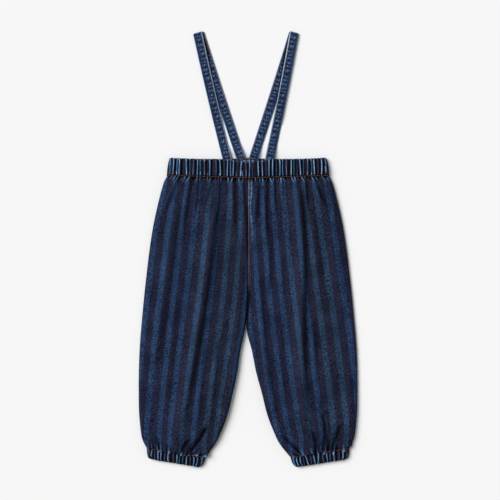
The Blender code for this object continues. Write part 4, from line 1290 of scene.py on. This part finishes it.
def run_down(start, waist_x, bow, tuck, run_z):
    """The middle of a strap's run from the fold to the waist and on inside it: x, y and height."""
    waist = np.array([waist_x, WAIST_TOP])
    length = np.linalg.norm(waist - start)
    from_waist = np.arange(length, -tuck, -STRAP_STEP)
    plan = waist - (waist - start) / length * from_waist[:, None]
    plan[:, 0] += bow * np.sin(np.pi * np.clip(from_waist / length, 0, 1))
    height = STRAP_WAIST_Z + (STRAP_BACK_Z - STRAP_WAIST_Z) * smooth_step(from_waist, *SETTLE)
    return np.column_stack([plan, height + (run_z - STRAP_BACK_Z) * smooth_step(from_waist, *MEET)])


def strap_path(front, back, fold, askew):
    """The strip's middle line, its heading and how far it has turned over, step by step."""
    top, shift = np.array(fold), np.array([askew, 0.0])
    front = run_down(top, *front, FRONT_TUCK, STRAP_FRONT_Z)[::-1]
    back = run_down(top + shift, *back, BACK_TUCK, STRAP_BACK_Z)
    ways = [way / np.linalg.norm(way) for way in (top - front[0, :2], top + shift - back[-1, :2])]
    away = (ways[0] + ways[1]) / np.linalg.norm(ways[0] + ways[1])
    radius = (STRAP_FRONT_Z - STRAP_BACK_Z) / 2
    turn = np.linspace(0, np.pi, FOLD_STEPS)[:, None]
    plan = top + shift * turn / np.pi + away * radius * np.sin(turn)
    fold_line = np.hstack([plan, STRAP_BACK_Z + radius * (1 + np.cos(turn))])
    middle = np.concatenate([front[:-1], fold_line, back[1:]])
    counts = (len(front) - 1, len(fold_line), len(back) - 1)
    heading = np.repeat([ways[0], away, ways[1]], counts, axis=0)
    over = np.concatenate([np.zeros((counts[0], 1)), turn, np.full((counts[2], 1), np.pi)])
    return middle, heading, over, counts


print("steps along each strap:", {word: len(strap_path(**STRAPS[word])[0]) for word in WAYS})

# %% [markdown]
# ## The strip itself
#
# The strip's profile has more points near its edges, where it is round and where it is stitched. What shows
# on a worn strap is small: pale patches that follow the puckers, painted shade in their troughs, faint
# streaks along it, worn edges, the stitched one with a painted highlight, and the groove of the stitches,
# darkened with painted shade. A texture of one strap would be stretched on the other, so all of it is worked
# out along the path.

# %% Straps
STRAP_LINES = 29
STRAP_EDGE_ROUND = 0.0011
STITCH_INSET, STITCH_GROOVE = 0.0019, 0.0005  # how far in a strap is stitched, and half the groove's width
STRAP_INSIDE = (0.0010, 0.0030)  # how far from an edge the puckers begin and are full
STRAP_PUCKER, PUCKER_HEIGHT = 0.0058, 0.00022
PUCKER_DRIFTS = 0.041, 0.017  # the lengths along the strap over which the puckers' spacing changes
STRAP_PHASES = {"right": 1.2, "left": 3.9}  # where each strap's puckers start
# Waves across the strip: length across it, length along it and phase
STRAP_BLOTCHES = ((0.0083, 0.0047, 0.5), (-0.0067, 0.0073, 2.6), (0.0112, -0.0109, 4.4))
STRAP_STREAKS = ((0.0019, 0.011, 0.3), (0.0031, -0.017, 2.2))
BLOTCH_SHIFT, STREAK_SHIFT = 0.0007, 0.0004  # how far these stray across the strip
# the edges' wear, which on the stitched edge also carries a painted highlight
RIM_HALF, FAR_RIM_HALF = 0.0013, 0.0008  # how wide the worn edges are, the stitched one and the other
RIM_RISE = 0.170  # how far above the waist the stitched edge is palest
STRAP_DEEPEST = 0.97
SHADOW_FROM, SHADOW_TO = 0.165, 0.215  # the back run is in the front run's shade above these heights
SHADOW_HALF, SHADOW_WIDENS, SHADOW_WIDE = 0.0013, 0.0026, (0.235, 0.290)  # and it is wider up there


def strap_grid(word):
    """The two faces of a strap's strip, with its marks and its stitch lines.

    Across, the half thickness is that of a flat strip with round edges, and it is drawn in where it is
    stitched, along the edge nearer the middle of the garment. Along, the middle swells once every pucker: by
    a cosine of the way gone, which hurries and lags by two slow sines. Wear and painted shade are sums of
    the patches, the streaks, the worn edges and the groove; the stitched edge's wear also carries a painted
    highlight, and the painted shade lies in the puckers' troughs and the groove.
    """
    middle, heading, over, counts = strap_path(**STRAPS[word])
    phase = STRAP_PHASES[word]
    gone = np.append(0, np.cumsum(np.linalg.norm(np.diff(middle, axis=0), axis=1)))[:, None]
    out = np.hstack([heading * np.sin(over), np.cos(over)])
    across = np.column_stack([heading[:, 1], -heading[:, 0], np.zeros(len(heading))])
    side = np.sin(np.linspace(-np.pi / 2, np.pi / 2, STRAP_LINES))[None, :]
    medial = -WAYS[word] * side + 0 * gone
    from_edge = (1 - np.abs(side)) * STRAP_WIDTH / 2
    from_medial = (1 - medial) * STRAP_WIDTH / 2
    round_off = np.sqrt(1 - (1 - np.clip(from_edge / STRAP_EDGE_ROUND, 0, 1))**2)
    drift = np.sin(2 * np.pi * gone / PUCKER_DRIFTS[0] + 2 * phase)
    hurry = 1.3 * drift + 0.9 * np.sin(2 * np.pi * gone / PUCKER_DRIFTS[1] + phase)
    wave = np.cos(2 * np.pi * gone / STRAP_PUCKER + phase + hurry)
    groove = bell(from_medial - STITCH_INSET, STITCH_GROOVE)
    inside = smooth_step(from_edge, *STRAP_INSIDE)
    thick = STRAP_WALL / 2 * round_off * (0.94 - 0.14 * groove)
    spread = middle[:, None] + across[:, None] * side[..., None] * (STRAP_WIDTH / 2)
    lift = (PUCKER_HEIGHT * wave * inside * 0.5)[..., None]
    outer = spread + out[:, None] * (thick[..., None] + lift)
    inner = spread - out[:, None] * (thick[..., None] - lift)
    # pale blotches, mostly a little off the middle, painted shade between them, mostly in the puckers'
    # troughs, and streaks along the strip
    blotch = ripple(side * STRAP_WIDTH + BLOTCH_SHIFT * drift, gone, STRAP_BLOTCHES)
    streak = ripple(side * STRAP_WIDTH + STREAK_SHIFT * drift, gone, STRAP_STREAKS)
    patch = np.clip(-0.10 + 0.90 * wave + 1.1 * blotch + 0.35 * streak, 0, 1.15)
    patch = bell(medial - 0.12 - 0.15 * drift, 0.55) * patch
    pucker_shade = bell(medial - 0.30, 0.70) * np.clip(-0.05 - 0.80 * wave - 1.2 * blotch, 0, 1)
    # the worn edges, of which the stitched one is palest high on the front run, where a highlight is painted
    # on it too
    on_back = smooth_step(over, 0.4 * np.pi, 0.6 * np.pi)
    rim = bell(from_medial, RIM_HALF, 4) * (1 - 0.30 * on_back)
    far_rim = bell(STRAP_WIDTH - from_medial, FAR_RIM_HALF, 4)
    height_up = (spread[..., 1] - WAIST_TOP) / RIM_RISE
    wear_and_highlight = 0.66 * patch + rim * (1.05 + 0.85 * height_up * (1 - on_back)) + 0.60 * far_rim
    wear_and_highlight = wear_and_highlight + np.clip(0.12 * streak, 0, 1)
    # painted shade in the puckers' troughs and the stitches' groove, with the dark parts of the streaks
    painted_shade = 0.60 * pucker_shade * inside + 0.62 * groove + 0.30 * np.clip(-streak, 0, 1) * inside
    # the shade beside the front run's edge, on the back run
    front_run, where = middle[:counts[0]], spread[..., 1]
    front_x = np.interp(where, front_run[:, 1], front_run[:, 0])
    beyond = -WAYS[word] * (spread[..., 0] - front_x) - STRAP_WIDTH / 2 / heading[0, 1]
    high = smooth_step(where, SHADOW_FROM, SHADOW_TO)
    shade_half = SHADOW_HALF + SHADOW_WIDENS * smooth_step(where, *SHADOW_WIDE)
    painted_shade = painted_shade + on_back * high * bell(np.clip(beyond, 0, 1), shade_half) * (1 - 0.8 * rim)
    stripe = 0.5 - 0.5 * inside * (0.5 + 0.5 * streak)
    marks = {"stripe": stripe, "wear_and_highlight": np.clip(wear_and_highlight, 0, 2), "painted_shade": np.clip(painted_shade, 0, STRAP_DEEPEST)}
    column = np.argmin(np.abs(from_medial[0] - STITCH_INSET))
    folded = sum(counts[:2])
    lines = [(outer[:folded, column], out[:folded]), (inner[folded:, column], -out[folded:])]
    return outer, inner, marks, lines


STRAP_STITCHES = {}
for word in WAYS:
    outer, inner, marks, STRAP_STITCHES[word] = strap_grid(word)
    piece = add_wall(f"strap_{word}_cloth", outer, inner, STRAP_DENIM, **marks)
    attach(piece, "root")
    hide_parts(f"strap_{word}")

# %% [markdown]
# ## Topstitching
#
# The casings and the straps' ends are sewn in copper thread, and the straps and the centre seam in
# brown, 3 stitches to the centimetre. A stitch is a short rounded sausage that dips into the cloth at
# both ends. All the stitches of a seam are one mesh, worked out at once: first where along the seam
# each one starts and ends, then its few rings of points, and last the quads.

# %% Thread finish
THREAD_TWISTS, THREAD_TONES = 300, (0.45, 1.35)  # its mottle: how many patches to the metre, and their tones


def thread(name, colour):
    """Twisted sewing thread, with a slight sheen."""
    n = Nodes(name)
    place = n.add("ShaderNodeTexCoord").outputs["Object"]
    tone = n.ramp(n.noise(place, THREAD_TWISTS, 3), 0.3, 0.7, *THREAD_TONES)
    n.fill(n.shader, {"Base Color": n.scaled(colour, tone), "Roughness": 0.6, "Specular IOR Level": 0.25})
    return n.material


COPPER = thread("copper_thread", shade(150, 98, 68)[:3])
BROWN = thread("brown_thread", shade(138, 88, 62)[:3])

# %% Stitches
STITCH_LENGTH, STITCH_GAP = 0.0030, 0.0003
STITCH_RADIUS, STRAP_STITCH_RADIUS, CENTRE_STITCH_RADIUS = 0.00036, 0.00040, 0.00034
STITCH_RISE, STITCH_SINK = 1.3, 0.5  # in radii
STITCH_THIN = 0.04
STITCH_RINGS = np.linspace(0, 1, 5)
STITCH_SIDES = 6
# The two quads that close each end: which ring they are on, and their corners in it
STITCH_CAPS = ((0, (3, 2, 1, 0)), (0, (5, 4, 3, 0)), (-1, (0, 1, 2, 3)), (-1, (0, 3, 4, 5)))


def stitches(name, lines, material, radius=STITCH_RADIUS):
    """Stitches along lines of points, each given with the way up from the cloth.

    Ring j of a stitch, from 0 to 1, is at the line's point there, raised by
    radius * (STITCH_RISE * s - STITCH_SINK), and is a circle of radius * sqrt(s), where s is sin(pi * j)
    and at least STITCH_THIN. So the ends are thin and sunk.
    """
    all_points, faces, starts_at = [], [], 0
    swell = np.sqrt(np.clip(np.sin(np.pi * STITCH_RINGS), STITCH_THIN, 1))
    angle = np.linspace(0, 2 * np.pi, STITCH_SIDES, endpoint=False)
    for points, up in lines:
        gone = np.append(0, np.cumsum(np.linalg.norm(np.diff(points, axis=0), axis=1)))
        starts = np.arange(STITCH_GAP, gone[-1] - STITCH_LENGTH, STITCH_LENGTH + STITCH_GAP)
        at = starts[:, None] + STITCH_RINGS * STITCH_LENGTH
        centre = np.stack([np.interp(at, gone, points[:, i]) for i in range(3)], axis=-1)
        above = np.stack([np.interp(at, gone, up[:, i]) for i in range(3)], axis=-1)
        above /= np.linalg.norm(above, axis=-1, keepdims=True)
        ahead = np.gradient(centre, axis=1)
        ahead /= np.linalg.norm(ahead, axis=-1, keepdims=True)
        sideways = np.cross(ahead, above)
        centre = centre + above * (radius * (STITCH_RISE * swell**2 - STITCH_SINK))[:, None]
        ring = (above[:, :, None] * np.cos(angle)[:, None] + sideways[:, :, None] * np.sin(angle)[:, None])
        shape = centre[:, :, None] + ring * (radius * swell)[:, None, None]
        count, rings = shape.shape[:2]
        index = starts_at + np.arange(count * rings * STITCH_SIDES).reshape(count, rings, STITCH_SIDES)
        turned = np.roll(index, -1, axis=2)
        quads = np.stack([index[:, :-1], turned[:, :-1], turned[:, 1:], index[:, 1:]], axis=-1)
        faces += [quads.reshape(-1, 4), *(index[:, end, order] for end, order in STITCH_CAPS)]
        all_points.append(shape.reshape(-1, 3))
        starts_at += shape.size // 3
    points, faces = np.concatenate(all_points), np.concatenate(faces)
    piece = add_mesh(name, points, facing_out(points, faces), material)
    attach(piece, "root")
    print(f"{name}: {2 * len(faces)} triangles")


# %% [markdown]
# ## Where the seams are sewn
#
# The casings are sewn along a row of their own grids, so the thread rises and falls with the gathers.
# The rows that hold the straps' ends cross the band, and take their height from the nearest points of its
# grid. The centre seam's thread follows the line that was sunk for it.

# %% Topstitching
def flat_line(grid_line, raise_by=0.0):
    """A row or column of a grid as a stitch line with its way up, +Z."""
    up = np.zeros_like(grid_line) + (0, 0, 1)
    return grid_line + up * raise_by, up


def along_top(grid, points, raise_by=0.0):
    """A stitch line across a grid through a few x and y in mm, raised from the grid's height there."""
    x = MM * np.arange(points[0][0], points[-1][0], LINE_STEP)
    y = np.interp(x, *(MM * np.array(points).T))
    columns = np.abs(grid[-1, :, 0][None, :] - x[:, None]).argmin(axis=1)
    lines = np.abs(grid[:, columns, 1] - y).argmin(axis=0)
    line = np.stack([x, y, grid[lines, columns, 2]], axis=-1)
    return flat_line(line, raise_by)


LINE_STEP = 0.5  # in mm
# The rows that hold the straps' ends, through these x and y in mm
STRAP_ENDS_FRONT = (
    ((-32.5, 122), (-26.5, 122), (-22, 121.5), (-17, 120.5), (-11, 119.5), (-0.5, 118.5), (10, 118.5)),
    ((22.5, 122), (27, 121.5), (32, 122)),
)
STRAP_ENDS_BACK = ((-15.5, 124), (-5, 124.5), (3, 124.5), (12.5, 124))
BACK_ENDS_RAISED = STRAP_WALL + 0.0004  # the straps lie between the back half and this row
THREAD_ROW = 2  # the row of a casing's grid that its thread runs along
CENTRE_THREAD_END = -0.055  # how far down the centre seam its thread shows

band_front = BANDS["front"][0]
ends = [along_top(band_front, points) for points in STRAP_ENDS_FRONT]
ends.append(along_top(BANDS["back"][1], STRAP_ENDS_BACK, BACK_ENDS_RAISED))
stitches("topstitch_waist", [flat_line(band_front[THREAD_ROW])], COPPER)
stitches("topstitch_strap_ends", ends, COPPER)
for word in WAYS:
    stitches(f"topstitch_cuff_{word}", [flat_line(CUFFS[word, "front"][THREAD_ROW])], COPPER)
    stitches(f"topstitch_strap_{word}", STRAP_STITCHES[word], BROWN, STRAP_STITCH_RADIUS)
left_front = FRONTS["left"][FRONTS["left"][:, -1, 1] > CENTRE_THREAD_END]
thread_x = SEAM_LINES["sink"][0] + seam_wobble(left_front[:, -1:, 1])
near = np.abs(left_front[..., 0] - thread_x).argmin(axis=1)
centre_line = flat_line(left_front[np.arange(len(near)), near])
stitches("topstitch_centre", [centre_line], BROWN, CENTRE_STITCH_RADIUS)

# %% [markdown]
# ## Last update
#
# The view layer is brought up to date.

# %% Update
bpy.context.view_layer.update()
